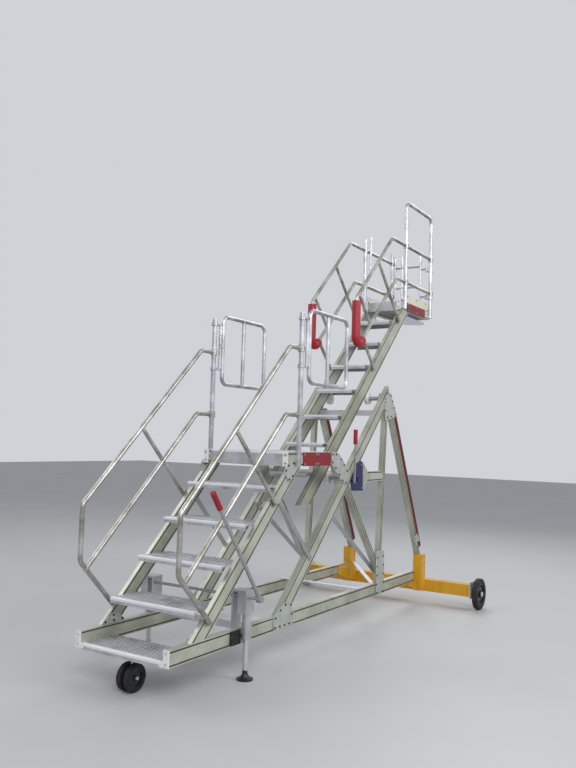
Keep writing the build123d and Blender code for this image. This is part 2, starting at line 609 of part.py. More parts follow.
# Winch on the right frame: bracket between the legs, blue side plates with the drum, and a crank
WINCH_BAR, WINCH_H = ((2300, 1293), (2900, 1293)), 93
WINCH_HEAD = ((2360, 1434), (2480, 1420), (2575, 1339), (2575, 1247), (2490, 1175), (2360, 1175))
WINCH_PLATE = ((2427, 1434), (2467, 1416), (2478, 1173), (2271, 1181), (2248, 1275), (2352, 1409))
WINCH_GAP, DRUM, DRUM_R = 44, (2390, 1290), 42
WINCH_BOLTS, WINCH_BOLT_R = ((2440, 1400), (2455, 1200)), 9
CRANK, CRANK_T, CRANK_W, CRANK_TOP = (2275, 1262), 12, 18, 1575
CRANK_EYE_R, CRANK_GRIP_R, CRANK_GRIP_LEN = 16, 18, 125
winch_mid = RAIL_OUT + FLAT_T + WINCH_GAP / 2
winch_y = (-winch_mid + WINCH_GAP / 2, -winch_mid - WINCH_GAP / 2)
bracket = member(*WINCH_BAR, -RAIL_MID, RAIL_T, WINCH_H) + plate(WINCH_HEAD, RAIL_IN, -1, RAIL_T)
parts["frame_struts"] = group([frame_struts, between_legs(bracket)])
winch = plate(WINCH_PLATE, RAIL_OUT, -1, FLAT_T) + plate(WINCH_PLATE, winch_mid + WINCH_GAP / 2, -1, FLAT_T)
for point in (*WINCH_BOLTS, CRANK):
    winch += cross_pin(point, winch_y, WINCH_BOLT_R)
parts["winch_frame"] = winch
parts["winch_drum"] = cross_pin(DRUM, winch_y, DRUM_R)
crank_y = (winch_mid - CRANK_T / 2, winch_mid + CRANK_T / 2)
crank = side_block((CRANK[0] - CRANK_W / 2, CRANK[0] + CRANK_W / 2), crank_y, (CRANK[1], CRANK_TOP), -1)
crank += cross_pin(CRANK, (-crank_y[0], -crank_y[1]), CRANK_EYE_R)
parts["winch_crank"] = crank - cross_pin(CRANK, (-crank_y[0], -crank_y[1]), WINCH_BOLT_R + CLAMP_GAP)
crank_grip_z = (CRANK_TOP, CRANK_TOP + CRANK_GRIP_LEN)
parts["winch_grip"] = stand_pin(CRANK[0], -winch_mid, crank_grip_z, CRANK_GRIP_R)

# Guide rollers that carry the sliding stringers, each on a pin from a guide leg's inner face
ROLLER_R, ROLLER_W, ROLLER_PIN_R, ROLLER_BOSS_R = 55, 30, 12, 20
ROLLER_ALONG = {"lower": 205, "upper": 1230}
ROLLER_INNER = SLIDER_HALF + MOVING_GAP
ROLLER_BELOW = SLIDER_EDGE + SLIDER_H + CLAMP_GAP + ROLLER_R
MOUNT_W, MOUNT_T = 90, 12
mounts = []
for level, along in ROLLER_ALONG.items():
    x, z = on_climb(UPPER_NOSE, along, ROLLER_BELOW)
    for name, side in NAMED_SIDES:
        across = (side * ROLLER_INNER, side * (ROLLER_INNER + ROLLER_W))
        mount = side_block((x - MOUNT_W / 2, x + MOUNT_W / 2), (RAIL_IN - MOUNT_T, RAIL_IN),
                           (z - MOUNT_W / 2, z + MOUNT_W / 2), side)
        mount += cross_pin((x, z), (side * (RAIL_IN - MOUNT_T), across[1] + side * CLAMP_GAP), ROLLER_BOSS_R)
        mounts.append(mount + cross_pin((x, z), across, ROLLER_PIN_R))
        bore = cross_pin((x, z), across, ROLLER_PIN_R + PIN_GAP)
        parts[f"{level}_roller_{name}"] = cross_pin((x, z), across, ROLLER_R) - bore
parts["roller_mounts"] = group(mounts)

# Sliding upper flight
SLIDER_FOOT_Z = 1075
PLATFORM_BEAM_Z = (PLATFORM_Z - RAIL_H, PLATFORM_Z)
parts["upper_treads"] = treads(UPPER_NOSE, range(UPPER_STEPS), SLIDER_HALF)
parts["upper_stringers"] = both(
    lambda s: above(below(inclined(UPPER_NOSE, SLIDER_EDGE, SLIDER_H, s * (SLIDER_OUT - STRINGER_T / 2),
                                   STRINGER_T, (-2, UPPER_STEPS + 2)), PLATFORM_BEAM_Z[0]), SLIDER_FOOT_Z))

# Platform: beams on the stringers' heads, deck, red plates, cream toe boards, tapered arms below
PLATE_Z = (PLATFORM_BEAM_Z[0], PLATFORM_Z - PLATE_DROP)
TOE_X, TOE_Z = (3718, 4340), (PLATE_Z[1], 3145)
ARM_TIP = ((4255, 2919), (4255, 2893))
ARM_ROOT = 2815
platform_half = SLIDER_OUT - RAIL_T
under = on_climb(UPPER_NOSE, 0, SLIDER_EDGE + SLIDER_H)
arm_root = [under[0] + (z - under[1]) * GOING / RISE for z in (ARM_ROOT, ARM_TIP[0][1])]
parts["platform_beams"] = both(
    lambda s: level_beam((PLATFORM_BEAM_X0, PLATFORM_X[1]), PLATFORM_Z, SLIDER_OUT, s))
parts["platform_end_caps"] = both(
    lambda s: end_cap(PLATFORM_BEAM_X0, (platform_half, SLIDER_OUT), PLATFORM_BEAM_Z, s))
parts["platform_deck"] = decking(
    PLATFORM_X, PLATFORM_Z, platform_half, (PLATFORM_X[0], PLATFORM_X[1] - CROSS_W))
parts["platform_side_plates"] = side_plates(PLATFORM_PLATES, SLIDER_OUT, PLATE_Z)
parts["toe_boards"] = both(lambda s: side_block(TOE_X, (SLIDER_OUT, SLIDER_OUT + FLAT_T), TOE_Z, s))
arm = ((arm_root[0], ARM_ROOT), (arm_root[1], ARM_TIP[0][1]), *ARM_TIP)
parts["platform_arms"] = both(lambda s: plate(arm, SLIDER_HALF, s, STRINGER_T))

# Red sleeves round the front uprights, bent with the tube's lower bend
SLEEVE_OUT_R, SLEEVE_TAIL, SLEEVE_IN = 40, 178, 30
upper = HANDRAILS["upper"]


def red_sleeve(side):
    top, low = [down_climb(upper[level], upper["front"]) for level in ("top", "middle")]
    tail = (low[0] + SLEEVE_TAIL * cos(SLOPE), low[1] + SLEEVE_TAIL * sin(SLOPE))
    route = ((top[0], top[1] - SLEEVE_IN), low, tail)
    y = side * UPPER_HAND_Y
    return tube_along(route, y, SLEEVE_OUT_R) - tube_along(route, y, TUBE_R + CLAMP_GAP)


parts["red_sleeves"] = both(red_sleeve)

# Platform guard: a tall hoop on the right, posts on the left, rails between them
HOOP_TOP, LEFT_POST_TOP = 4100, 3764
PLATFORM_POST_Z = (PLATFORM_BEAM_Z[0] + POST_IN, PLATFORM_Z - POST_IN)
LATCH_X, LATCH_R, LATCH_Z = 3755, 12, (3450, 3797)
front_x = upper["post"]
guard_x = (front_x, REAR_POST_X)
hoop = tube_along(((front_x, PLATFORM_POST_Z[0]), (front_x, HOOP_TOP),
                   (REAR_POST_X, HOOP_TOP), (REAR_POST_X, PLATFORM_POST_Z[0])), -UPPER_HAND_Y, POST_R)
for x in guard_x:
    hoop += post_block(x, (SLIDER_OUT, UPPER_HAND_Y), PLATFORM_POST_Z, -1)
latch_y = UPPER_HAND_Y - TUBE_R - LATCH_R - CLAMP_GAP
parts["platform_posts"] = group(
    [post(x, (SLIDER_OUT, UPPER_HAND_Y), PLATFORM_POST_Z, LEFT_POST_TOP, 1) for x in guard_x]
    + [stand_pin(LATCH_X, latch_y, LATCH_Z, LATCH_R)])


def side_rail(side, z):
    y = side * UPPER_HAND_Y
    rail = bar((front_x + COLLAR_R + CLAMP_GAP, y, z), (REAR_POST_X - POST_R - WELD_IN, y, z), TUBE_R)
    return rail + collar(REAR_POST_X, y, z)


parts["platform_side_rails"] = group([
    side_rail(side, z) for side in SIDES for z in (upper["top"][1], upper["middle"][1])])

# Rear gate of the platform: three stiles and two rails, on pins held off the hoop's rear post
REAR_GATE_Y, REAR_GATE_Z = (191, 108, -113), (3200, 3713)
REAR_RAIL_Z, REAR_TUBE_R = (3350, 3579), 13
HINGE_Y, HINGE_Z, HINGE_H = -186, (3210, 3520), 40
HINGE_R, HINGE_ARM_R, HINGE_PIN_R = 13, 11, 6


def rear_gate_hinge(z):
    """A lug on the rear post with a pin that stands up from it."""
    y_post = -UPPER_HAND_Y
    lug = block((REAR_POST_X - HINGE_R, REAR_POST_X + HINGE_R), (y_post, HINGE_Y), (z - ARM_T, z))
    lug += stand_pin(REAR_POST_X, HINGE_Y, (z - ARM_T, z), HINGE_R)
    lug -= Pos(REAR_POST_X, y_post, z - ARM_T / 2) * Cylinder(POST_R + CLAMP_GAP, ARM_T)
    lug += collar(REAR_POST_X, y_post, z - ARM_T / 2, ARM_COLLAR_H)
    return lug + stand_pin(REAR_POST_X, HINGE_Y, (z, z + HINGE_H), HINGE_PIN_R)


def rear_gate_bar(y, z, radius):
    """A level tube of the rear gate, from one y to another."""
    return bar((REAR_POST_X, y[0], z), (REAR_POST_X, y[1], z), radius)


parts["platform_hoop"] = group([hoop, *[rear_gate_hinge(z) for z in HINGE_Z]])
gate = stand_pin(REAR_POST_X, REAR_GATE_Y[0], REAR_GATE_Z, REAR_TUBE_R)
for y in REAR_GATE_Y[1:]:
    gate += stand_pin(REAR_POST_X, y, REAR_GATE_Z, REAR_TUBE_R)
for z in REAR_RAIL_Z:
    gate += rear_gate_bar((REAR_GATE_Y[-1], REAR_GATE_Y[0]), z, REAR_TUBE_R)
for z in HINGE_Z:
    barrel = (z + CLAMP_GAP, z + HINGE_H)
    gate += stand_pin(REAR_POST_X, HINGE_Y, barrel, HINGE_R)
    gate += rear_gate_bar((HINGE_Y, REAR_GATE_Y[-1]), sum(barrel) / 2, HINGE_ARM_R)
    gate -= stand_pin(REAR_POST_X, HINGE_Y, barrel, HINGE_PIN_R + PIN_GAP)
parts["platform_rear_gate"] = gate

# The origin: on the floor, under the middle of the machine
boxes = [shape.bounding_box() for shape in parts.values()]
middle_x = (min(box.min.X for box in boxes) + max(box.max.X for box in boxes)) / 2
os.makedirs("parts", exist_ok=True)
for node, shape in parts.items():
    export_step(Pos(-middle_x, 0, 0) * shape, f"parts/{node}.step")
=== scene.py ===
import bmesh
import bpy
from math import atan2, cos, pi, radians, sin
from mathutils import Matrix, Vector


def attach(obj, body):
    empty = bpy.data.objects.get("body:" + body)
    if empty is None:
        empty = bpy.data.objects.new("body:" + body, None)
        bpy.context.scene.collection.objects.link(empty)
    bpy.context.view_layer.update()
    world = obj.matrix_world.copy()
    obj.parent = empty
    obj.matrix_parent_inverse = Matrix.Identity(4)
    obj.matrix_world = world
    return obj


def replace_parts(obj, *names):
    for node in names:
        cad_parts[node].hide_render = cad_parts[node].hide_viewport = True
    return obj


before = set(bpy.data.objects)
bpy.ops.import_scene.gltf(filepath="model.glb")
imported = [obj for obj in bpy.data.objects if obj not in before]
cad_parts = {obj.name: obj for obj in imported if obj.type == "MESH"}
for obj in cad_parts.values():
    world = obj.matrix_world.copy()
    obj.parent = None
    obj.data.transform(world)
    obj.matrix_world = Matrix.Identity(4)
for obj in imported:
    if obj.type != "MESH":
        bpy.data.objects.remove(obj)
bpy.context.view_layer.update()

# Camera: off the front right corner of the machine, at the height of the landing, with a lens a
# little wider than normal on an upright frame.
CAMERA_AT = Vector((-5.7345, -3.412, 1.603))
CAMERA_YAW, CAMERA_PITCH, CAMERA_ROLL = 0.565, 0.072, 0.029
SENSOR_H, LENS = 36, 35.75
level = Vector((sin(CAMERA_YAW), -cos(CAMERA_YAW), 0))
ahead = Vector((cos(CAMERA_YAW), sin(CAMERA_YAW), 0))
forward = cos(CAMERA_PITCH) * ahead + Vector((0, 0, sin(CAMERA_PITCH)))
upright = level.cross(forward)
right = cos(CAMERA_ROLL) * level + sin(CAMERA_ROLL) * upright
up = cos(CAMERA_ROLL) * upright - sin(CAMERA_ROLL) * level
lens = bpy.data.cameras.new("camera")
lens.sensor_fit, lens.sensor_height, lens.lens = "VERTICAL", SENSOR_H, LENS
camera = bpy.data.objects.new("camera", lens)
camera.matrix_world = Matrix.Translation(CAMERA_AT) @ Matrix((right, up, -forward)).transposed().to_4x4()
bpy.context.scene.collection.objects.link(camera)
bpy.context.scene.camera = camera
bpy.context.scene.view_settings.view_transform = "Standard"

# Floor: a plain pale sheet with a faint sealed-concrete mottle. The background has the same pale
# tone, and softboxes hang over the front, the right side and the rear.
FLOOR_SIZE = 60
SOFTBOX_AIM = Vector((-0.7, 0, 1.5))
SOFTBOXES = (
    # place, size, watts
    ((-6.7, -5.0, 6.0), 4.0, 330),
    ((0.8, -7.5, 5.5), 4.0, 260),
    ((-3.2, 6.5, 6.5), 4.0, 150),
    ((5.8, 1.0, 6.0), 4.0, 170),
)


def ink(code):
    """An sRGB hex colour as linear red, green, blue and alpha."""
    parts = [int(code[n:n + 2], 16) / 255 for n in (0, 2, 4)]
    return tuple(c / 12.92 if c <= 0.04045 else ((c + 0.055) / 1.055) ** 2.4 for c in parts) + (1,)


def add(tree, kind, settings=None, links=None):
    """Adds a node. settings set its properties and unlinked sockets; links join sockets to outputs."""
    node = tree.nodes.new(kind)
    for key, value in (settings or {}).items():
        if isinstance(key, str) and key in node.bl_rna.properties:
            setattr(node, key, value)
        else:
            node.inputs[key].default_value = value
    for key, output in (links or {}).items():
        tree.links.new(output, node.inputs[key])
    return node


def material(name):
    """An empty material, its node tree and the object's coordinates, on which its patterns lie."""
    new = bpy.data.materials.new(name)
    new.use_nodes = True
    new.node_tree.nodes.clear()
    return new, new.node_tree, add(new.node_tree, "ShaderNodeTexCoord").outputs["Object"]


def noise(tree, place, scale, detail=2, roughness=0.5):
    """A cloudy pattern with features of about 1 / scale metres."""
    return add(tree, "ShaderNodeTexNoise", {"Scale": scale, "Detail": detail, "Roughness": roughness},
               {"Vector": place}).outputs["Fac"]


def stretched(tree, place, scale):
    """Coordinates scaled by axis; a pattern on them runs along the axis with the lowest scale."""
    return add(tree, "ShaderNodeMapping", {"Scale": scale}, {"Vector": place}).outputs[0]


def between(tree, value, start=0, end=1, low=0, high=1):
    """Maps a value from start..end to low..high and holds it there."""
    return add(tree, "ShaderNodeMapRange", {1: start, 2: end, 3: low, 4: high}, {0: value}).outputs[0]


def reckon(tree, operation, *terms):
    """A Math node's result from numbers and outputs of other nodes."""
    node = add(tree, "ShaderNodeMath", {"operation": operation})
    for socket, term in zip(node.inputs, terms):
        if isinstance(term, bpy.types.NodeSocket):
            tree.links.new(term, socket)
        else:
            socket.default_value = term
    return node.outputs[0]


def blend(tree, share, first, second):
    """The first colour where the share is 0 and the second where it is 1: hex codes or outputs."""
    settings, links = {"data_type": "RGBA"}, {0: share}
    for socket, colour in ((6, first), (7, second)):
        if isinstance(colour, str):
            settings[socket] = ink(colour)
        else:
            links[socket] = colour
    return add(tree, "ShaderNodeMix", settings, links).outputs[2]


def relief(tree, height, strength, depth):
    """The normal of a surface with a pattern pressed in, depth in metres."""
    bump = add(tree, "ShaderNodeBump", {"Strength": strength, "Distance": depth}, {"Height": height})
    return bump.outputs[0]


def surface(tree, settings, links):
    """Ends a material with its shader: settings hold the constants, links the patterns."""
    shader = add(tree, "ShaderNodeBsdfPrincipled", settings, links)
    add(tree, "ShaderNodeOutputMaterial", {}, {0: shader.outputs[0]})


def dress(finish, *nodes):
    """Gives CAD nodes their finish."""
    for node in nodes:
        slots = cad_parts[node].data.materials
        slots.clear()
        slots.append(finish)


sealed_floor, tree, place = material("sealed_pale_floor")
mottle = noise(tree, place, 0.7, 3)
surface(tree, {"Roughness": 0.55}, {"Base Color": blend(tree, mottle, "b9babb", "c6c7c8")})
bpy.ops.mesh.primitive_plane_add(size=FLOOR_SIZE)
floor = bpy.context.object
floor.name = "floor"
floor.data.materials.append(sealed_floor)

world = bpy.data.worlds.new("studio")
world.use_nodes = True
tree = world.node_tree
tree.nodes.clear()
ray = add(tree, "ShaderNodeLightPath")
seen = reckon(tree, "MAXIMUM", ray.outputs["Is Camera Ray"], ray.outputs["Is Glossy Ray"])
fill = add(tree, "ShaderNodeBackground", {"Color": ink("e8ecf2"), "Strength": 0.42})
backdrop = add(tree, "ShaderNodeBackground", {"Color": ink("cfd2d6"), "Strength": 1})
both = add(tree, "ShaderNodeMixShader", {}, {0: seen, 1: fill.outputs[0], 2: backdrop.outputs[0]})
add(tree, "ShaderNodeOutputWorld", {}, {0: both.outputs[0]})
bpy.context.scene.world = world
for spot, size, watts in SOFTBOXES:
    lamp = bpy.data.lights.new("softbox", "AREA")
    lamp.size, lamp.energy = size, watts
    softbox = bpy.data.objects.new("softbox", lamp)
    softbox.location = spot
    softbox.rotation_euler = (SOFTBOX_AIM - Vector(spot)).to_track_quat("-Z", "Y").to_euler()
    bpy.context.scene.collection.objects.link(softbox)

# Base rails and all the other straight members: extruded 6000-series aluminium with T-slots, sawn
# to length and clear anodised. Stains have dulled the anodising, and the T-slots carry painted shade.
RISE, GOING = 250, 255
LEANS = {"level": 0, "climb": atan2(RISE, GOING), "upright": atan2(1685, 105), "rear": -atan2(1595, 818),
         "strut": -atan2(822, 685)}
MEMBERS = {"level": ("base_rails", "landing_beams", "platform_beams"),
           "climb": ("lower_stringers", "guide_legs", "upper_stringers"),
           "upright": ("upright_legs",), "rear": ("rear_legs",), "strut": ("frame_struts",)}


def anodised_extrusion(lean):
    """Satin anodised aluminium, gone a warm grey-green. Die lines run along the member, soft stains
    lie across it, and painted shade turns the T-slots near black where ambient occlusion finds a recess,
    so each slot reads as a dark line."""
    new, tree, place = material("anodised_extrusion_" + lean)
    along = add(tree, "ShaderNodeMapping", {"Rotation": (0, LEANS[lean], 0)}, {"Vector": place}).outputs[0]
    lines = noise(tree, stretched(tree, along, (1.5, 420, 420)), 1)
    stain = noise(tree, place, 3, 6, 0.62)
    clean = blend(tree, between(tree, lines, 0.3, 0.7), "bcbeae", "d6d7ca")
    worn = blend(tree, between(tree, stain, 0.42, 0.72), clean, "a2a292")
    # Painted shade: the colour goes near black (171713) where ambient occlusion finds a recess, as in the
    # T-slots.
    slot_occlusion = add(tree, "ShaderNodeAmbientOcclusion", {"samples": 6, "only_local": True, "Distance": 0.012})
    painted_slot_shade = between(tree, slot_occlusion.outputs["AO"], 0.72, 0.94)
    surface(tree, {"Metallic": 0.65},
            {"Base Color": blend(tree, painted_slot_shade, "171713", worn),
             "Roughness": between(tree, stain, low=0.36, high=0.58),
             "Normal": relief(tree, lines, 0.12, 0.0004)})
    return new


for lean, nodes in MEMBERS.items():
    dress(anodised_extrusion(lean), *nodes)

# End caps: moulded nylon plates pressed into the sawn ends, white at the front of the rails and
# beams and black at the rear of the rails, each held by two screws.


def moulded_nylon(name, colour, scuff):
    """Moulded nylon: an even matt colour with a fine moulded grain and grey scuffs."""
    new, tree, place = material(name)
    rub, grain = noise(tree, place, 28, 6), noise(tree, place, 1600)
    surface(tree, {"Roughness": 0.5, "IOR": 1.53},
            {"Base Color": blend(tree, between(tree, rub, 0.52, 0.75), colour, scuff),
             "Normal": relief(tree, grain, 0.1, 0.0003)})
    return new


white_nylon = moulded_nylon("white_moulded_nylon", "efefee", "c4c3bd")
dress(white_nylon, "white_end_caps", "platform_end_caps")
dress(moulded_nylon("black_moulded_nylon", "1b1b1c", "3c3b39"), "black_end_caps")

# Bolts: hex heads on washers, zinc-plated on the plates and clamps, and black oxide on the T-slot
# bolts of the gussets. Each body's bolts of one finish are one piece, made at the end. Sizes from
# here on are in millimetres, and x starts at the front ends of the base rails.
HEAD_R, HEAD_H, WASHER_R, WASHER_H = 6.5, 5, 9, 1.6
RAILS_FRONT = Vector((-2194.5, 0, 0))
SIDES = (1, -1)
FRONTWARD, REARWARD, OUTWARD, INWARD = (-1, 0, 0), (1, 0, 0), (0, 1, 0), (0, -1, 0)
RAIL_Y = 372.5
CAP_SCREWS = (
    # x, heights, way; those of the rails' front caps are sunk in the caps
    (-1.4, (252, 313), FRONTWARD),
    (3656, (252, 313), REARWARD),
    (1244, (1422, 1483), FRONTWARD),
)


def zinc_plate():
    """Zinc-plated steel: a bluish grey metal, cloudy from its crystals, dulled unevenly by handling."""
    new, tree, place = material("zinc_plated_steel")
    cloud, dull = noise(tree, place, 60, 4), noise(tree, place, 9, 4)
    surface(tree, {"Metallic": 0.9},
            {"Base Color": blend(tree, cloud, "989c9f", "bfc3c6"),
             "Roughness": between(tree, dull, low=0.28, high=0.55)})
    return new


def oxide_black():
    """Black oxide on steel: a thin dark skin that shows grey where a spanner has rubbed it."""
    new, tree, place = material("black_oxide_steel")
    rub = noise(tree, place, 150, 4)
    surface(tree, {"Metallic": 0.5, "Roughness": 0.5},
            {"Base Color": blend(tree, between(tree, rub, 0.5, 0.75), "202123", "55565a")})
    return new


def node_group(name, inputs, made):
    """A geometry node tree with named inputs by kind, and the outputs of its input node."""
    tree = bpy.data.node_groups.new(name, "GeometryNodeTree")
    for kind, sockets in inputs.items():
        for socket in sockets:
            tree.interface.new_socket(socket, in_out="INPUT", socket_type="NodeSocket" + kind)
    tree.interface.new_socket(made, in_out="OUTPUT", socket_type="NodeSocketGeometry")
    return tree, add(tree, "NodeGroupInput").outputs


def joined(tree, *pieces):
    """Geometry outputs joined into one."""
    join = add(tree, "GeometryNodeJoinGeometry")
    for piece in pieces:
        tree.links.new(piece, join.inputs[0])
    return join.outputs[0]


def coated(tree, geometry, finish):
    """Geometry with its material set."""
    return add(tree, "GeometryNodeSetMaterial", {}, {"Geometry": geometry, "Material": finish}).outputs[0]


def attribute(tree, name, kind):
    """A named attribute of the points."""
    return add(tree, "GeometryNodeInputNamedAttribute", {"data_type": kind, "Name": name}).outputs[0]


def aligned(tree):
    """The turn that sets Z to each point's way."""
    way = attribute(tree, "way", "FLOAT_VECTOR")
    return add(tree, "FunctionNodeAlignRotationToVector", {"axis": "Z"}, {"Vector": way}).outputs[0]


def bolt_tree():
    """Puts a hex head and washer on each point, turned to the point's way."""
    tree, given = node_group("hex_bolts", {
        "Geometry": ("Places",), "Float": ("Head radius", "Head height", "Washer radius", "Washer height"),
        "Material": ("Finish",)}, "Bolts")
    head = add(tree, "GeometryNodeMeshCylinder", {"Vertices": 6},
               {"Radius": given["Head radius"], "Depth": given["Head height"]})
    washer = add(tree, "GeometryNodeMeshCylinder", {"Vertices": 12},
                 {"Radius": given["Washer radius"], "Depth": given["Washer height"]})
    lift = add(tree, "ShaderNodeCombineXYZ", {}, {"Z": reckon(tree, "MULTIPLY", given["Head height"], 0.5)})
    raised = add(tree, "GeometryNodeTransform", {},
                 {"Geometry": head.outputs["Mesh"], "Translation": lift.outputs[0]})
    placed = add(tree, "GeometryNodeInstanceOnPoints", {},
                 {"Points": given["Places"], "Rotation": aligned(tree),
                  "Instance": joined(tree, raised.outputs[0], washer.outputs["Mesh"])})
    real = add(tree, "GeometryNodeRealizeInstances", {}, {"Geometry": placed.outputs[0]})
    add(tree, "NodeGroupOutput", {}, {0: coated(tree, real.outputs[0], given["Finish"])})
    return tree


zinc, oxide, hex_bolts = zinc_plate(), oxide_black(), bolt_tree()
bolt_places = {}


def at(point):
    """A point in millimetres as a place in the frame, in metres."""
    return (RAILS_FRONT + Vector(point)) / 1000


def bolt(body, point, way, finish=zinc):
    """Notes a bolt that sits at a point, with its head towards way."""
    bolt_places.setdefault((body, finish.name), []).append((at(point), Vector(way)))


def bolts(body, xs, y, zs, way, finish=zinc):
    """Notes a bolt at each x and z on both sides of the machine, y and the way's y being outwards."""
    for side in SIDES:
        for x in xs:
            for z in zs:
                bolt(body, (x, side * y, z), (way[0], side * way[1], way[2]), finish)


def own_mesh(piece):
    """Turns what a piece's modifiers make into its own plain mesh."""
    graph = bpy.context.evaluated_depsgraph_get()
    plain = bpy.data.meshes.new_from_object(piece.evaluated_get(graph))
    piece.modifiers.clear()
    piece.data = plain
    plain.name = piece.name
    return piece


def made_by(name, points, tree, values, attributes=None):
    """A plain mesh object that a node tree makes from points; values are its named inputs."""
    mesh = bpy.data.meshes.new(name)
    mesh.from_pydata([tuple(p) for p in points], [], [])
    for key, rows in (attributes or {}).items():
        kind, field = ("FLOAT", "value") if isinstance(rows[0], float) else ("FLOAT_VECTOR", "vector")
        layer = mesh.attributes.new(key, kind, "POINT")
        for item, row in zip(layer.data, rows):
            setattr(item, field, row)
    made = bpy.data.objects.new(name, mesh)
    bpy.context.scene.collection.objects.link(made)
    modifier = made.modifiers.new("make", "NODES")
    modifier.node_group = tree
    for socket in tree.interface.items_tree:
        if socket.name in values:
            modifier[socket.identifier] = values[socket.name]
    return own_mesh(made)


for x, heights, way in CAP_SCREWS:
    bolts("base", (x,), RAIL_Y, heights, way)

# Treads and decks: folded aluminium planks. The top is punched with rows of raised, open-topped
# buttons for grip, and a ribbed bar, worn bright, is riveted along the front edge.
LOWER_NOSE, UPPER_NOSE = (5, 255), (1879, 1325)    # the lowest nose of each flight, as (x, z)
LANDING_NOSE = (1285, 1505)
TREAD_D, LANDING_D = 300, 720
BOTTOM_W, LOWER_W, LANDING_W = 700, 730, 700
GRIP_R, GRIP_MOUTH_R, GRIP_H, GRIP_PITCH, GRIP_MARGIN = 10.8, 9.2, 1.6, 28, 12
THROAT, FLOOR_LEVEL = 0.92, 0.4    # a button's hole as shares of its mouth and height
NOSING_D, NOSING_H, NOSING_T, NOSING_LIP, SEAT = 34, 3, 2.5, 15, 0.2
RIBS, RIB_PITCH, RIB_TOP, RIB_FLANK, GROOVE_H = 4, 8, 4, 1, 1.4


def punched_plate():
    """Mill-finish aluminium: bright where shoes polish it, with grey dirt left between the buttons."""
    new, tree, place = material("punched_aluminium_plate")
    dirt, scuff = noise(tree, place, 7, 6, 0.65), noise(tree, place, 120, 3)
    clean = blend(tree, scuff, "bdbfc6", "d9dae0")
    surface(tree, {"Metallic": 0.7},
            {"Base Color": blend(tree, between(tree, dirt, 0.45, 0.72), clean, "9d9c9a"),
             "Roughness": between(tree, dirt, low=0.35, high=0.6)})
    return new


def bright_nosing():
    """Extruded aluminium nosing, rubbed nearly white by shoes."""
    new, tree, place = material("worn_bright_nosing")
    rub = noise(tree, place, 90, 4)
    surface(tree, {"Metallic": 0.25},
            {"Base Color": blend(tree, rub, "e2e3e8", "fafafc"),
             "Roughness": between(tree, rub, low=0.25, high=0.42)})
    return new


def open_shadow():
    """Painted shade for the inside of a punched hole: a near-black matt colour standing in for the dark seen
    down it.
    """
    new, tree, place = material("grimy_hole")
    grime = noise(tree, place, 200)
    # near-black painted shade for the hole's floor, mottled a little
    surface(tree, {"Roughness": 0.9}, {"Base Color": blend(tree, grime, "0e0e0f", "1d1c1c")})
    return new


def bare_sheet(name, dark, light):
    """Bare rolled metal: bright, with faint rolling lines and duller finger smudges."""
    new, tree, place = material(name)
    lines = noise(tree, stretched(tree, place, (300, 6, 300)), 1)
    smudge = noise(tree, place, 10, 5)
    surface(tree, {"Metallic": 0.6},
            {"Base Color": blend(tree, smudge, light, dark),
             "Roughness": between(tree, smudge, low=0.3, high=0.5),
             "Normal": relief(tree, lines, 0.08, 0.0003)})
    return new


plate_metal, nosing_metal, hole_dark = punched_plate(), bright_nosing(), open_shadow()
dress(plate_metal, "lower_treads", "landing_deck", "upper_treads", "platform_deck")
dress(bare_sheet("bare_rolled_aluminium", "c3c5cb", "eeeff3"), "cross_members")
dress(bare_sheet("violet_anodised_plate", "aaa6b8", "cfcbdb"), "platform_arms")


def button(tree, given):
    """One open button: a raised cone, the flared inside of its mouth, and a dark floor of painted shade."""
    mouth, height = given["Mouth radius"], given["Height"]
    throat = reckon(tree, "MULTIPLY", mouth, THROAT)
    walls = [add(tree, "GeometryNodeMeshCone", {"fill_type": "NONE", "Vertices": 8},
                 {"Radius Top": mouth, "Radius Bottom": foot, "Depth": height}).outputs["Mesh"]
             for foot in (given["Foot radius"], throat)]
    inside = add(tree, "GeometryNodeFlipFaces", {}, {0: walls[1]})
    # The sunk disc is painted shade: a dark floor where the real hole shows only shadow.
    disc = add(tree, "GeometryNodeMeshCircle", {"fill_type": "NGON", "Vertices": 8}, {"Radius": throat})
    sunk = add(tree, "ShaderNodeCombineXYZ", {}, {"Z": reckon(tree, "MULTIPLY", height, FLOOR_LEVEL)})
    ground = add(tree, "GeometryNodeTransform", {},
                 {"Geometry": disc.outputs[0], "Translation": sunk.outputs[0]})
    return joined(tree, coated(tree, joined(tree, walls[0], inside.outputs[0]), given["Plate"]),
                  coated(tree, ground.outputs[0], given["Hole"]))


def grip_tree():
    """Covers a rectangle round each point with staggered rows of raised, open buttons."""
    tree, given = node_group("grip_buttons", {
        "Geometry": ("Places",),
        "Float": ("Depth", "Width", "Pitch", "Foot radius", "Mouth radius", "Height"),
        "Int": ("Rows", "Columns"), "Material": ("Plate", "Hole")}, "Buttons")
    field = add(tree, "GeometryNodeMeshGrid", {},
                {"Size X": given["Depth"], "Size Y": given["Width"],
                 "Vertices X": given["Rows"], "Vertices Y": given["Columns"]})
    index = add(tree, "GeometryNodeInputIndex").outputs[0]
    row = reckon(tree, "FLOOR", reckon(tree, "DIVIDE", index, given["Columns"]))
    centred = reckon(tree, "SUBTRACT", reckon(tree, "MODULO", row, 2), 0.5)
    shift = reckon(tree, "MULTIPLY", reckon(tree, "MULTIPLY", centred, given["Pitch"]), 0.5)
    offset = add(tree, "ShaderNodeCombineXYZ", {}, {"Y": shift})
    staggered = add(tree, "GeometryNodeSetPosition", {},
                    {"Geometry": field.outputs["Mesh"], "Offset": offset.outputs[0]})
    rows = add(tree, "GeometryNodeInstanceOnPoints", {},
               {"Points": staggered.outputs[0], "Instance": button(tree, given)})
    fields = add(tree, "GeometryNodeInstanceOnPoints", {},
                 {"Points": given["Places"], "Instance": rows.outputs[0]})
    real = add(tree, "GeometryNodeRealizeInstances", {}, {"Geometry": fields.outputs[0]})
    add(tree, "NodeGroupOutput", {}, {0: real.outputs[0]})
    return tree


grip_buttons = grip_tree()


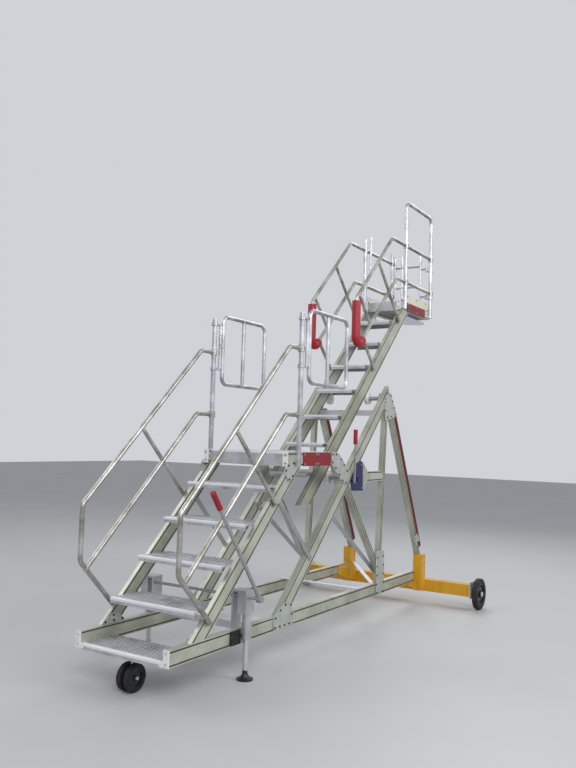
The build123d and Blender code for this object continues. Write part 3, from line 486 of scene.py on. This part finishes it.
def grip(name, body, noses, depth, width):
    """Buttons on each plank of a flight, from the (x, z) of the planks' noses."""
    field = (depth - NOSING_D - 2 * GRIP_MARGIN, width - 3 * GRIP_MARGIN)
    rows, columns = (int(side / GRIP_PITCH) + 1 for side in field)
    made = made_by(name, [at((x + (depth + NOSING_D) / 2, 0, z)) for x, z in noses], grip_buttons,
                   {"Depth": field[0] / 1000, "Width": field[1] / 1000, "Pitch": GRIP_PITCH / 1000,
                    "Foot radius": GRIP_R / 1000, "Mouth radius": GRIP_MOUTH_R / 1000,
                    "Height": GRIP_H / 1000, "Rows": rows, "Columns": columns,
                    "Plate": plate_metal, "Hole": hole_dark})
    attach(made, body)


def solid(name, build, finish, body):
    """A piece that build makes in an empty mesh, which then gets its finish and rides on a body."""
    shape = bmesh.new()
    build(shape)
    bmesh.ops.translate(shape, verts=shape.verts, vec=RAILS_FRONT / 1000)
    bmesh.ops.remove_doubles(shape, verts=shape.verts, dist=1e-6)
    bmesh.ops.recalc_face_normals(shape, faces=shape.faces)
    mesh = bpy.data.meshes.new(name)
    shape.to_mesh(mesh)
    shape.free()
    mesh.materials.append(finish)
    made = bpy.data.objects.new(name, mesh)
    bpy.context.scene.collection.objects.link(made)
    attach(made, body)
    return made


def prism(shape, outline, y0, y1):
    """A closed prism across the machine from an outline of (x, z) points."""
    ends = [[shape.verts.new((x / 1000, y / 1000, z / 1000)) for x, z in outline] for y in (y0, y1)]
    shape.faces.new(ends[0])
    shape.faces.new(ends[1][::-1])
    for n in range(len(outline)):
        m = (n + 1) % len(outline)
        shape.faces.new((ends[0][n], ends[1][n], ends[1][m], ends[0][m]))


def nosing_outline(x, z):
    """A nosing bar's section: a lip over the plank's front edge, and ribs on top."""
    outline = [(x - NOSING_T, z - NOSING_LIP), (x - NOSING_T, z + 0.5), (x - 1, z + 2)]
    for n in range(RIBS):
        start, end = x + RIB_FLANK + n * RIB_PITCH, x + (n + 1) * RIB_PITCH
        outline += [(start, z + NOSING_H), (start + RIB_TOP, z + NOSING_H),
                    (start + RIB_TOP + RIB_FLANK, z + GROOVE_H), (end, z + GROOVE_H)]
    return outline + [(x + NOSING_D, z + SEAT), (x - SEAT, z + SEAT), (x - SEAT, z - NOSING_LIP)]


def nosings(name, body, noses, width):
    """A nosing bar along each plank's front edge, from the (x, z) of the planks' noses."""
    def build(shape):
        for x, z in noses:
            prism(shape, nosing_outline(x, z), -width / 2, width / 2)
    solid(name, build, nosing_metal, body)


def climb(nose, count, first=0):
    """The (x, z) of a flight's noses."""
    return [(nose[0] + GOING * n, nose[1] + RISE * n) for n in range(first, first + count)]


grip("bottom_tread_buttons", "base", climb(LOWER_NOSE, 1), TREAD_D, BOTTOM_W)
grip("lower_tread_buttons", "base", climb(LOWER_NOSE, 4, 1), TREAD_D, LOWER_W)
nosings("bottom_tread_nosing", "base", climb(LOWER_NOSE, 1), BOTTOM_W)
nosings("lower_tread_nosings", "base", climb(LOWER_NOSE, 4, 1), LOWER_W)
grip("landing_buttons", "base", [LANDING_NOSE], LANDING_D, LANDING_W)
nosings("landing_nosing", "base", [LANDING_NOSE], LANDING_W)

# Side plates of the landing: red enamelled steel, bolted over the beams at their corners. The
# platform's plates have the same finish.
LANDING_PLATE_X, LANDING_PLATE_Y, LANDING_PLATE_Z = (1478, 1655, 1685, 1887), 403, (1416, 1489)


def enamel(name, colour, deep, bare, wear, runs=0.62):
    """Sprayed enamel on steel: a slightly uneven gloss, upright runs of grime, and chips that show
    the bare or primed metal. wear and runs are the shares of clean paint."""
    new, tree, place = material(name)
    cloud = noise(tree, place, 6, 4)
    drip = noise(tree, stretched(tree, place, (20, 20, 2.5)), 1, 4)
    chipped = between(tree, noise(tree, place, 75, 6, 0.7), wear, wear + 0.02)
    coat = blend(tree, cloud, colour, deep)
    grimy = blend(tree, between(tree, drip, runs, runs + 0.2, high=0.5), coat, "4a3220")
    surface(tree, {"IOR": 1.5},
            {"Base Color": blend(tree, chipped, grimy, bare),
             "Roughness": between(tree, cloud, low=0.28, high=0.5),
             "Normal": relief(tree, chipped, 0.25, 0.0003)})
    return new


dress(enamel("red_enamel", "900d1c", "700915", "6b6a68", 0.66), "landing_side_plates", "platform_side_plates")
bolts("base", LANDING_PLATE_X, LANDING_PLATE_Y, LANDING_PLATE_Z, OUTWARD)

# Posts, gates and handrails: round aluminium tube, mill finish. The posts stand in blocks bolted to
# the beams, and white domed plugs close their tops.
LANDING_POST_X, PLATFORM_POSTS_X = 1360, (3690, 4368)
LOWER_RAIL_Y, UPPER_RAIL_Y = 418, 234
LANDING_POST_TOP, PLATFORM_POST_TOP = 2565, 3764
PLUG = ((0, 4), (9, 3.4), (15, 2), (18.6, 0.4), (18.6, 0), (0, 0))
CREASE = radians(35)
POST_TOPS = {"base": [(LANDING_POST_X, side * LOWER_RAIL_Y, LANDING_POST_TOP) for side in SIDES],
             "upper_flight": [(x, UPPER_RAIL_Y, PLATFORM_POST_TOP) for x in PLATFORM_POSTS_X]}


def mill_tube(name, dark, light, nicks):
    """Mill-finish aluminium tube, polished by hands: faint draw marks, duller patches in the darker
    colour, and small dark nicks."""
    new, tree, place = material(name)
    draw, hand = noise(tree, place, 260, 3), noise(tree, place, 7, 5, 0.6)
    nick = add(tree, "ShaderNodeTexVoronoi", {"Scale": 45}, {"Vector": place}).outputs["Distance"]
    clean = blend(tree, between(tree, hand, 0.38, 0.62), dark, light)
    surface(tree, {"Metallic": 0.85},
            {"Base Color": blend(tree, between(tree, nick, 0.07, 0.03), clean, nicks),
             "Roughness": between(tree, hand, low=0.24, high=0.44),
             "Normal": relief(tree, draw, 0.08, 0.0003)})
    return new


# Two copies of one tube: the posts keep its plain bright tone, and the handrails' copy is darker and warmer,
# a painted reflection of dark, reddish surroundings.
bright_tube = mill_tube("bright_post_tube", "a4a5ab", "cfd0d6", "6f706e")
reflection_tinted_tube = mill_tube("handled_rail_tube", "97948b", "c9c7c2", "5f5d57")
dress(bright_tube, "landing_posts", "side_gate_left", "side_gate_right", "platform_posts", "platform_hoop",
      "platform_rear_gate")
dress(reflection_tinted_tube, "lower_handrail_left", "lower_handrail_right", "upper_handrail_left",
      "upper_handrail_right", "platform_side_rails")


def lathe(shape, profile, centre, axis, count=24):
    """Turns a profile of (radius, distance along the axis) round an axis."""
    axis = Vector(axis).normalized()
    across = axis.orthogonal().normalized()
    other = axis.cross(across)
    rings = []
    for radius, along in profile:
        hub = Vector(centre) + axis * along
        if radius == 0:
            rings.append([shape.verts.new(hub / 1000)])
        else:
            rings.append([shape.verts.new((hub + radius * (cos(a) * across + sin(a) * other)) / 1000)
                          for a in (2 * pi * n / count for n in range(count))])
    for a, b in zip(rings, rings[1:]):
        for n in range(count):
            m = (n + 1) % count
            corner = [a[n % len(a)], a[m % len(a)], b[m % len(b)], b[n % len(b)]]
            shape.faces.new(list(dict.fromkeys(corner)))


def smooth(piece):
    """Shades a turned piece smooth between its creases."""
    piece.data.shade_smooth()
    piece.modifiers.new("creases", "EDGE_SPLIT").split_angle = CREASE
    return own_mesh(piece)


def plugs(shape, tops):
    for top in tops:
        lathe(shape, PLUG, top, (0, 0, 1))


for body, tops in POST_TOPS.items():
    smooth(solid("post_plugs_" + body, lambda shape: plugs(shape, tops), white_nylon, body))

# Welds and clamps of the handrails: every strut and end is butted on its neighbour and TIG welded
# all round, which leaves a rippled bead; bolted clamps hold the rails to the posts and stringers.
SLOPE_WAY = Vector((GOING, 0, RISE)).normalized()
SQUARE_WAY = Vector((RISE, 0, -GOING)).normalized()
BEAD_R, RIPPLE, RIPPLES = 2.8, 0.35, 32
CLAMP_R, FOOT_T, FOOT_BOLT, FRONT_BOLT = 27, 10, -52, 14
LANDING_CLAMPS, PLATFORM_CLAMPS = (2290, 1785), (3642, 3258)    # heights on the posts
RAILS = (
    # body, nose, y, stringer face, welds on a tube (along, below, reach), welded feet (along, below)
    ("base", LOWER_NOSE, LOWER_RAIL_Y, 395, ((1375, -598, 15), (371, -277, 17)), ((371, 116), (1375, 116))),
    ("upper_flight", UPPER_NOSE, UPPER_RAIL_Y, 211,
     ((1473, -255, 15), (1690, -607, 15), (1690, -291, 15), (2243, -607, 15)), ((1473, 100), (2243, 100))),
)


def on_climb(nose, along, below):
    """The point so far up a nose line and so far square below it, as (x, z)."""
    place = along * SLOPE_WAY + below * SQUARE_WAY
    return nose[0] + place.x, nose[1] + place.z


def weld_tree():
    """A rippled ring round each point, square to the point's way, of the point's reach."""
    tree, given = node_group("weld_beads", {
        "Geometry": ("Places",), "Float": ("Bead radius", "Ripple"), "Int": ("Ripples",),
        "Material": ("Finish",)}, "Beads")
    ring = add(tree, "GeometryNodeCurvePrimitiveCircle", {"Radius": 1}, {"Resolution": given["Ripples"]})
    index = add(tree, "GeometryNodeInputIndex").outputs[0]
    swell = reckon(tree, "MULTIPLY_ADD", reckon(tree, "MODULO", index, 2), given["Ripple"], 1)
    rippled = add(tree, "GeometryNodeSetCurveRadius", {}, {"Curve": ring.outputs[0], "Radius": swell})
    section = add(tree, "GeometryNodeCurvePrimitiveCircle", {"Resolution": 6},
                  {"Radius": given["Bead radius"]})
    reach = attribute(tree, "reach", "FLOAT")
    size = add(tree, "ShaderNodeCombineXYZ", {}, {"X": reach, "Y": reach, "Z": reach})
    rings = add(tree, "GeometryNodeInstanceOnPoints", {},
                {"Points": given["Places"], "Instance": rippled.outputs[0], "Rotation": aligned(tree),
                 "Scale": size.outputs[0]})
    curves = add(tree, "GeometryNodeRealizeInstances", {}, {"Geometry": rings.outputs[0]})
    beads = add(tree, "GeometryNodeCurveToMesh", {},
                {"Curve": curves.outputs[0], "Profile Curve": section.outputs[0]})
    add(tree, "NodeGroupOutput", {}, {0: coated(tree, beads.outputs[0], given["Finish"])})
    return tree


weld_beads = weld_tree()
weld_places = {}


def weld(body, point, way, reach):
    """Notes a weld round a tube at a point; reach is the tube's radius there."""
    weld_places.setdefault(body, []).append((at(point), Vector(way), reach / 1000))


for body, nose, y, face, joints, feet in RAILS:
    for side in SIDES:
        for along, below, reach in joints:
            x, z = on_climb(nose, along, below)
            weld(body, (x, side * y, z), SQUARE_WAY, reach)
    for along, below in feet:
        x, z = on_climb(nose, along, below + FOOT_BOLT)
        bolts(body, (x,), face + FOOT_T, (z,), OUTWARD)
bolts("base", (LANDING_POST_X - CLAMP_R,), LOWER_RAIL_Y, [z + FRONT_BOLT for z in LANDING_CLAMPS], FRONTWARD)
bolts("base", (LANDING_POST_X,), LOWER_RAIL_Y + CLAMP_R, LANDING_CLAMPS, OUTWARD)
bolts("upper_flight", PLATFORM_POSTS_X, UPPER_RAIL_Y + CLAMP_R, PLATFORM_CLAMPS, OUTWARD)

# Side gates: the same tube bent into a frame with one upright bar; its corners are plain bends and
# the bar is welded in.
GATE_BAR_X, GATE_BAR_ENDS, GATE_REACH = 1765, (2056, 2585), 16
for name, side in (("left", 1), ("right", -1)):
    for z in GATE_BAR_ENDS:
        weld("side_gate_" + name, (GATE_BAR_X, side * LOWER_RAIL_Y, z), (0, 0, 1), GATE_REACH)

# A-frames: gusset plates of 8 mm aluminium, pierced with rows of holes along their edges, through
# which T-slot bolts clamp them to the legs and rails.
GUSSET_Y, GUSSET_T, HOLE_R, HOLE_SIDES, FOOT_Y = 395, 8, 5.5, 12, 356.5
FOOT_BRACKET = ((190, 336), (250, 400), (330, 400), (400, 336))    # inside each foot of the lower flight
FOOT_ROWS = (((216, 350), (376, 350), 5), ((262, 386), (320, 386), 3))
GUSSETS = (
    # outline, then bolt rows (from, to, count): at the stringer's head, the guide leg's foot, the
    # landing, the apex, the upright leg's foot and the red strut's foot
    (((1197, 1370), (1258, 1440), (1330, 1440), (1330, 1392), (1320, 1317), (1256, 1289)),
     (((1216, 1372), (1266, 1426), 4), ((1262, 1306), (1308, 1330), 3), ((1284, 1424), (1318, 1424), 2))),
    (((1112, 240), (1112, 330), (1236, 416), (1345, 400), (1364, 323), (1364, 240)),
     (((1128, 254), (1348, 254), 8), ((1128, 322), (1226, 392), 4), ((1258, 398), (1334, 386), 3),
      ((1340, 366), (1348, 318), 2))),
    (((1904, 1500), (2020, 1500), (2110, 1430), (2215, 1330), (2170, 1235), (2085, 1265), (1904, 1410)),
     (((1918, 1488), (2012, 1488), 4), ((1918, 1424), (1974, 1378), 3), ((2034, 1472), (2198, 1326), 7),
      ((2098, 1274), (2160, 1252), 3), ((2004, 1348), (2064, 1296), 3))),
    (((2888, 2005), (2955, 2072), (3025, 2052), (3150, 1860), (3090, 1830), (2900, 1800)),
     (((2902, 2000), (2954, 2052), 3), ((2972, 2050), (3018, 2036), 2), ((3036, 2014), (3132, 1868), 6),
      ((2916, 1824), (3076, 1848), 5), ((2906, 1970), (2912, 1850), 4))),
    (((2772, 230), (2948, 230), (2930, 615), (2785, 615)),
     (((2786, 246), (2796, 600), 10), ((2934, 246), (2918, 600), 10), ((2816, 246), (2904, 246), 3))),
    (((3640, 655), (3725, 700), (3765, 620), (3680, 580)),
     (((3654, 652), (3722, 686), 3), ((3684, 594), (3752, 624), 3))),
)


def satin_plate():
    """Pale anodised plate with a fine satin grain and grey smudges."""
    new, tree, place = material("pale_satin_gusset_plate")
    smudge, grain = noise(tree, place, 14, 5), noise(tree, place, 900)
    surface(tree, {"Metallic": 0.55, "Roughness": 0.42},
            {"Base Color": blend(tree, smudge, "cdd2cc", "a3aaa4"),
             "Normal": relief(tree, grain, 0.1, 0.0002)})
    return new


def row_points(rows):
    """The points of rows given as (from, to, count)."""
    return [(a[0] + (b[0] - a[0]) * n / (count - 1), a[1] + (b[1] - a[1]) * n / (count - 1))
            for a, b, count in rows for n in range(count)]


def pierced_plate(outline, rows, y, side):
    """The mesh of a plate with rows of round holes, from a filled flat curve; its inner face is at y."""
    curve = bpy.data.curves.new("outline", "CURVE")
    curve.dimensions, curve.fill_mode, curve.extrude = "2D", "BOTH", GUSSET_T / 2000
    turns = [2 * pi * n / HOLE_SIDES for n in range(HOLE_SIDES)]
    holes = [[(x + HOLE_R * cos(a), z + HOLE_R * sin(a)) for a in turns] for x, z in row_points(rows)]
    for ring in [outline] + holes:
        line = curve.splines.new("POLY")
        line.points.add(len(ring) - 1)
        for point, (x, z) in zip(line.points, ring):
            point.co = (x / 1000, z / 1000, 0, 1)
        line.use_cyclic_u = True
    drawn = bpy.data.objects.new("outline", curve)
    mesh = bpy.data.meshes.new_from_object(drawn)
    bpy.data.objects.remove(drawn)
    middle = side * (y + GUSSET_T / 2) / 1000
    for vertex in mesh.vertices:
        x, z, off = vertex.co
        vertex.co = (x, middle + off, z)
    return mesh


def all_gussets(shape):
    for side in SIDES:
        for outline, rows in GUSSETS:
            shape.from_mesh(pierced_plate(outline, rows, GUSSET_Y, side))
        shape.from_mesh(pierced_plate(FOOT_BRACKET, FOOT_ROWS, FOOT_Y, side))


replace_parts(solid("gusset_plates", all_gussets, satin_plate(), "base"), "frame_gussets")
for outline, rows in GUSSETS:
    for x, z in row_points(rows)[::2]:
        bolts("base", (x,), GUSSET_Y + GUSSET_T, (z,), OUTWARD, oxide)
for x, z in row_points(FOOT_ROWS)[::2]:
    bolts("base", (x,), FOOT_Y, (z,), INWARD, oxide)

# Braces: zinc-plated flat bars, and a pair of square crimson members behind the rear legs, bolted
# to the gusset plates.
dress(zinc, "frame_flats")
dress(enamel("crimson_enamel", "7a1022", "560b17", "4f4a48", 0.68), "red_struts")

# Rear axle: welded box beam with upright sockets and tapered arms, brushed over in yellow, with a
# zinc-plated plate and stub axle at each end.
SOCKET_BOLTS_X, SOCKET_FACE_Y, SOCKET_BOLTS_Z = (3756, 3820), 440, (160, 290, 400, 462)
ARM_BOLTS_X, ARM_FACE_Y, ARM_BOLTS_Z = (3480, 3560, 3640), 338, 285
dress(enamel("yellow_enamel", "e2ac24", "d0961a", "6d5a3a", 0.64, 0.54), "rear_axle")
bright_zinc = bare_sheet("bright_zinc_plate", "c0c2c4", "e6e7e9")
dress(bright_zinc, "axle_end_plates")
bolts("base", SOCKET_BOLTS_X, SOCKET_FACE_Y, SOCKET_BOLTS_Z, OUTWARD)
bolts("base", ARM_BOLTS_X, ARM_FACE_Y, (ARM_BOLTS_Z,), INWARD)

# Wheels: solid black rubber on dark cast centres, with a brown greased bearing. The tyre's shoulders
# are round and its tread is worn smooth.
WHEEL_X, WHEEL_Z, BEARING_Y = 3888, 148, 1003.5
HUB_BOLTS, HUB_BOLT_R, HUB_FACE_Y = 4, 62, 988
BEARING = ((21, -2), (27, -2), (30, 0), (30, 3), (16, 3), (16, 0), (21, -2))


def tyre_rubber():
    """Solid rubber: nearly black and matt, grey where floor dust sticks to it."""
    new, tree, place = material("solid_tyre_rubber")
    dust, grain = noise(tree, place, 22, 6, 0.7), noise(tree, place, 700)
    surface(tree, {"Roughness": 0.75},
            {"Base Color": blend(tree, between(tree, dust, 0.5, 0.8), "17171a", "39383a"),
             "Normal": relief(tree, grain, 0.3, 0.0005)})
    return new


cast_centre = enamel("dark_cast_wheel_centre", "2b2b2e", "1d1d20", "55504a", 0.66)
greased = enamel("brown_greased_bearing", "6b3a2a", "4b271c", "2c1a14", 0.6)
dress(tyre_rubber(), "rear_tyre_left", "rear_tyre_right", "caster_tyres")
dress(cast_centre, "rear_hub_left", "rear_hub_right", "caster_hubs")
for name, side in (("left", 1), ("right", -1)):
    wheel, centre, outward = "rear_wheel_" + name, (WHEEL_X, side * BEARING_Y, WHEEL_Z), (0, side, 0)
    smooth(solid("rear_bearing_" + name, lambda shape: lathe(shape, BEARING, centre, outward), greased,
                 wheel))
    for n in range(HUB_BOLTS):
        angle = (n + 0.5) * 2 * pi / HUB_BOLTS
        x, z = WHEEL_X + HUB_BOLT_R * cos(angle), WHEEL_Z + HUB_BOLT_R * sin(angle)
        bolt(wheel, (x, side * HUB_FACE_Y, z), outward)

# Caster: zinc-plated swivel fork between twin wheels, on a plate that is bolted under the bottom
# tread.
dress(bright_zinc, "caster_fork", "caster_plate")

# Jacks: zinc-plated steel tubes in brackets clamped to the rails, with bell feet painted black. A
# hand lever with a red moulded grip turns a shaft across the machine and pushes both feet down.
CLAMP = ((596, 246), (596, 318), (608, 330), (700, 330), (700, 237), (605, 237))
CLAMP_Y0, CLAMP_Y1 = 395.3, 409
CLAMP_BOLTS_X, CLAMP_BOLTS_Z = 630, (262, 308)
PAINT_EDGE = 0.068    # metres over the floor, a little above the bell


def plated_above(name, upper_dark, upper_light, lower, edge):
    """Bright plated steel above a height and black paint below it, chipped along the edge."""
    new, tree, place = material(name)
    cloud = noise(tree, place, 40, 4)
    height = add(tree, "ShaderNodeSeparateXYZ", {}, {0: place}).outputs["Z"]
    plated = between(tree, reckon(tree, "MULTIPLY_ADD", cloud, 0.012, height), edge, edge + 0.002)
    surface(tree, {},
            {"Base Color": blend(tree, plated, lower, blend(tree, cloud, upper_dark, upper_light)),
             "Metallic": between(tree, plated, high=0.8),
             "Roughness": between(tree, cloud, low=0.3, high=0.5)})
    return new


dress(plated_above("plated_tube_black_bell", "b9bcc0", "e0e2e5", "1c1b1b", PAINT_EDGE),
      "jack_foot_left", "jack_foot_right")
dress(bare_sheet("dull_zinc_plate", "97999b", "d0d2d4"), "jack_housings")
dress(zinc, "jack_lever")


def clamps(shape):
    for side in SIDES:
        prism(shape, CLAMP, side * CLAMP_Y0, side * CLAMP_Y1)


solid("jack_rail_clamps", clamps, oxide, "base")
bolts("base", (CLAMP_BOLTS_X,), CLAMP_Y1, CLAMP_BOLTS_Z, OUTWARD, oxide)


def grip_rubber(name, colour, deep):
    """Moulded soft plastic: saturated and slightly glossy, with a fine leathery grain."""
    new, tree, place = material(name)
    cloud = noise(tree, place, 12, 3)
    grain = add(tree, "ShaderNodeTexVoronoi", {"Scale": 420}, {"Vector": place}).outputs["Distance"]
    surface(tree, {"Roughness": 0.4, "IOR": 1.5},
            {"Base Color": blend(tree, cloud, colour, deep), "Normal": relief(tree, grain, 0.15, 0.0004)})
    return new


dress(grip_rubber("red_moulded_grip", "a80f24", "860b1b"), "jack_lever_grip", "winch_grip")

# Winch: a dark blue enamelled cover on a grey bracket between the legs, with the raised cap of the
# drum's bearing, and a plated crank with a red grip on a pin that stands out of the cover.
WINCH_PLATE = ((2427, 1434), (2467, 1416), (2478, 1173), (2271, 1181), (2248, 1275), (2352, 1409))
COVER_BACK, COVER_FACE = -395, -401
COVER_WAY = (0, -1, 0)
CRANK_PIN = ((0, 0), (9, 0), (9, 29), (0, 29))
CRANK_PIN_AT = (2275, COVER_FACE, 1262)
BEARING_CAP = ((0, 0), (42, 0), (42, 5), (38, 8), (14, 8), (12, 11), (0, 11))
BEARING_CAP_AT = (2390, COVER_FACE, 1290)
COVER_BOLTS = ((2440, 1400), (2455, 1200))


def winch_cover(shape):
    prism(shape, WINCH_PLATE, COVER_BACK, COVER_FACE)
    lathe(shape, CRANK_PIN, CRANK_PIN_AT, COVER_WAY)


def bearing_cap(shape):
    lathe(shape, BEARING_CAP, BEARING_CAP_AT, COVER_WAY)


blue = enamel("dark_blue_enamel", "15205a", "0c1338", "8b8f95", 0.7)
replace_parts(smooth(solid("winch_cover", winch_cover, blue, "base")), "winch_frame")
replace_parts(smooth(solid("winch_bearing_cap", bearing_cap, blue, "base")), "winch_drum")
dress(zinc, "winch_crank")
for x, z in COVER_BOLTS:
    bolt("base", (x, COVER_FACE, z), COVER_WAY)

# Guide rollers: turned white nylon on zinc-plated pins that stand in from the guide legs, and on
# which the sliding flight runs.
dress(white_nylon, "lower_roller_left", "lower_roller_right", "upper_roller_left", "upper_roller_right")
dress(zinc, "roller_mounts")

# Sliding flight and platform: planks like the lower ones, cream toe boards, red plates, and red
# sleeves moulded round the front uprights of the handrails.
PLATFORM_NOSE, PLATFORM_D, UPPER_W, PLATFORM_W = (3664, 3075), 726, 362, 332
PLATE_BOLTS_X, PLATE_FACE_Y, PLATE_BOLTS_Z = (3810, 4015, 4045, 4249), 219, (2984, 3046)
TOE_BOLTS_X, TOE_FACE_Y, TOE_BOLTS_Z = (3790, 4029, 4268), 217, 3125
BEAM_CAP_X, BEAM_Y, BEAM_SCREWS_Z = 3626, 188.5, (2992, 3053)
grip("upper_tread_buttons", "upper_flight", climb(UPPER_NOSE, 7), TREAD_D, UPPER_W)
nosings("upper_tread_nosings", "upper_flight", climb(UPPER_NOSE, 7), UPPER_W)
grip("platform_buttons", "upper_flight", [PLATFORM_NOSE], PLATFORM_D, PLATFORM_W)
nosings("platform_nosing", "upper_flight", [PLATFORM_NOSE], PLATFORM_W)
dress(enamel("cream_enamel", "e6dfce", "d3cbb6", "8f897c", 0.68, 0.66), "toe_boards")
dress(grip_rubber("red_moulded_sleeve", "b3162c", "951024"), "red_sleeves")
bolts("upper_flight", PLATE_BOLTS_X, PLATE_FACE_Y, PLATE_BOLTS_Z, OUTWARD)
bolts("upper_flight", TOE_BOLTS_X, TOE_FACE_Y, (TOE_BOLTS_Z,), OUTWARD)
bolts("upper_flight", (BEAM_CAP_X,), BEAM_Y, BEAM_SCREWS_Z, FRONTWARD)

# All the bolts and welds noted above: one piece for each body and finish.
for (body, finish), rows in bolt_places.items():
    made = made_by(f"bolts_{body}_{finish}", [p for p, way in rows], hex_bolts,
                   {"Head radius": HEAD_R / 1000, "Head height": HEAD_H / 1000,
                    "Washer radius": WASHER_R / 1000, "Washer height": WASHER_H / 1000,
                    "Finish": bpy.data.materials[finish]},
                   {"way": [way for p, way in rows]})
    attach(made, body)
# The weld beads take the handrails' tube colour, painted reflection included.
for body, rows in weld_places.items():
    made = made_by("welds_" + body, [p for p, way, reach in rows], weld_beads,
                   {"Bead radius": BEAD_R / 1000, "Ripple": RIPPLE, "Ripples": RIPPLES, "Finish": reflection_tinted_tube},
                   {"way": [way for p, way, reach in rows], "reach": [reach for p, way, reach in rows]})
    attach(made, body)
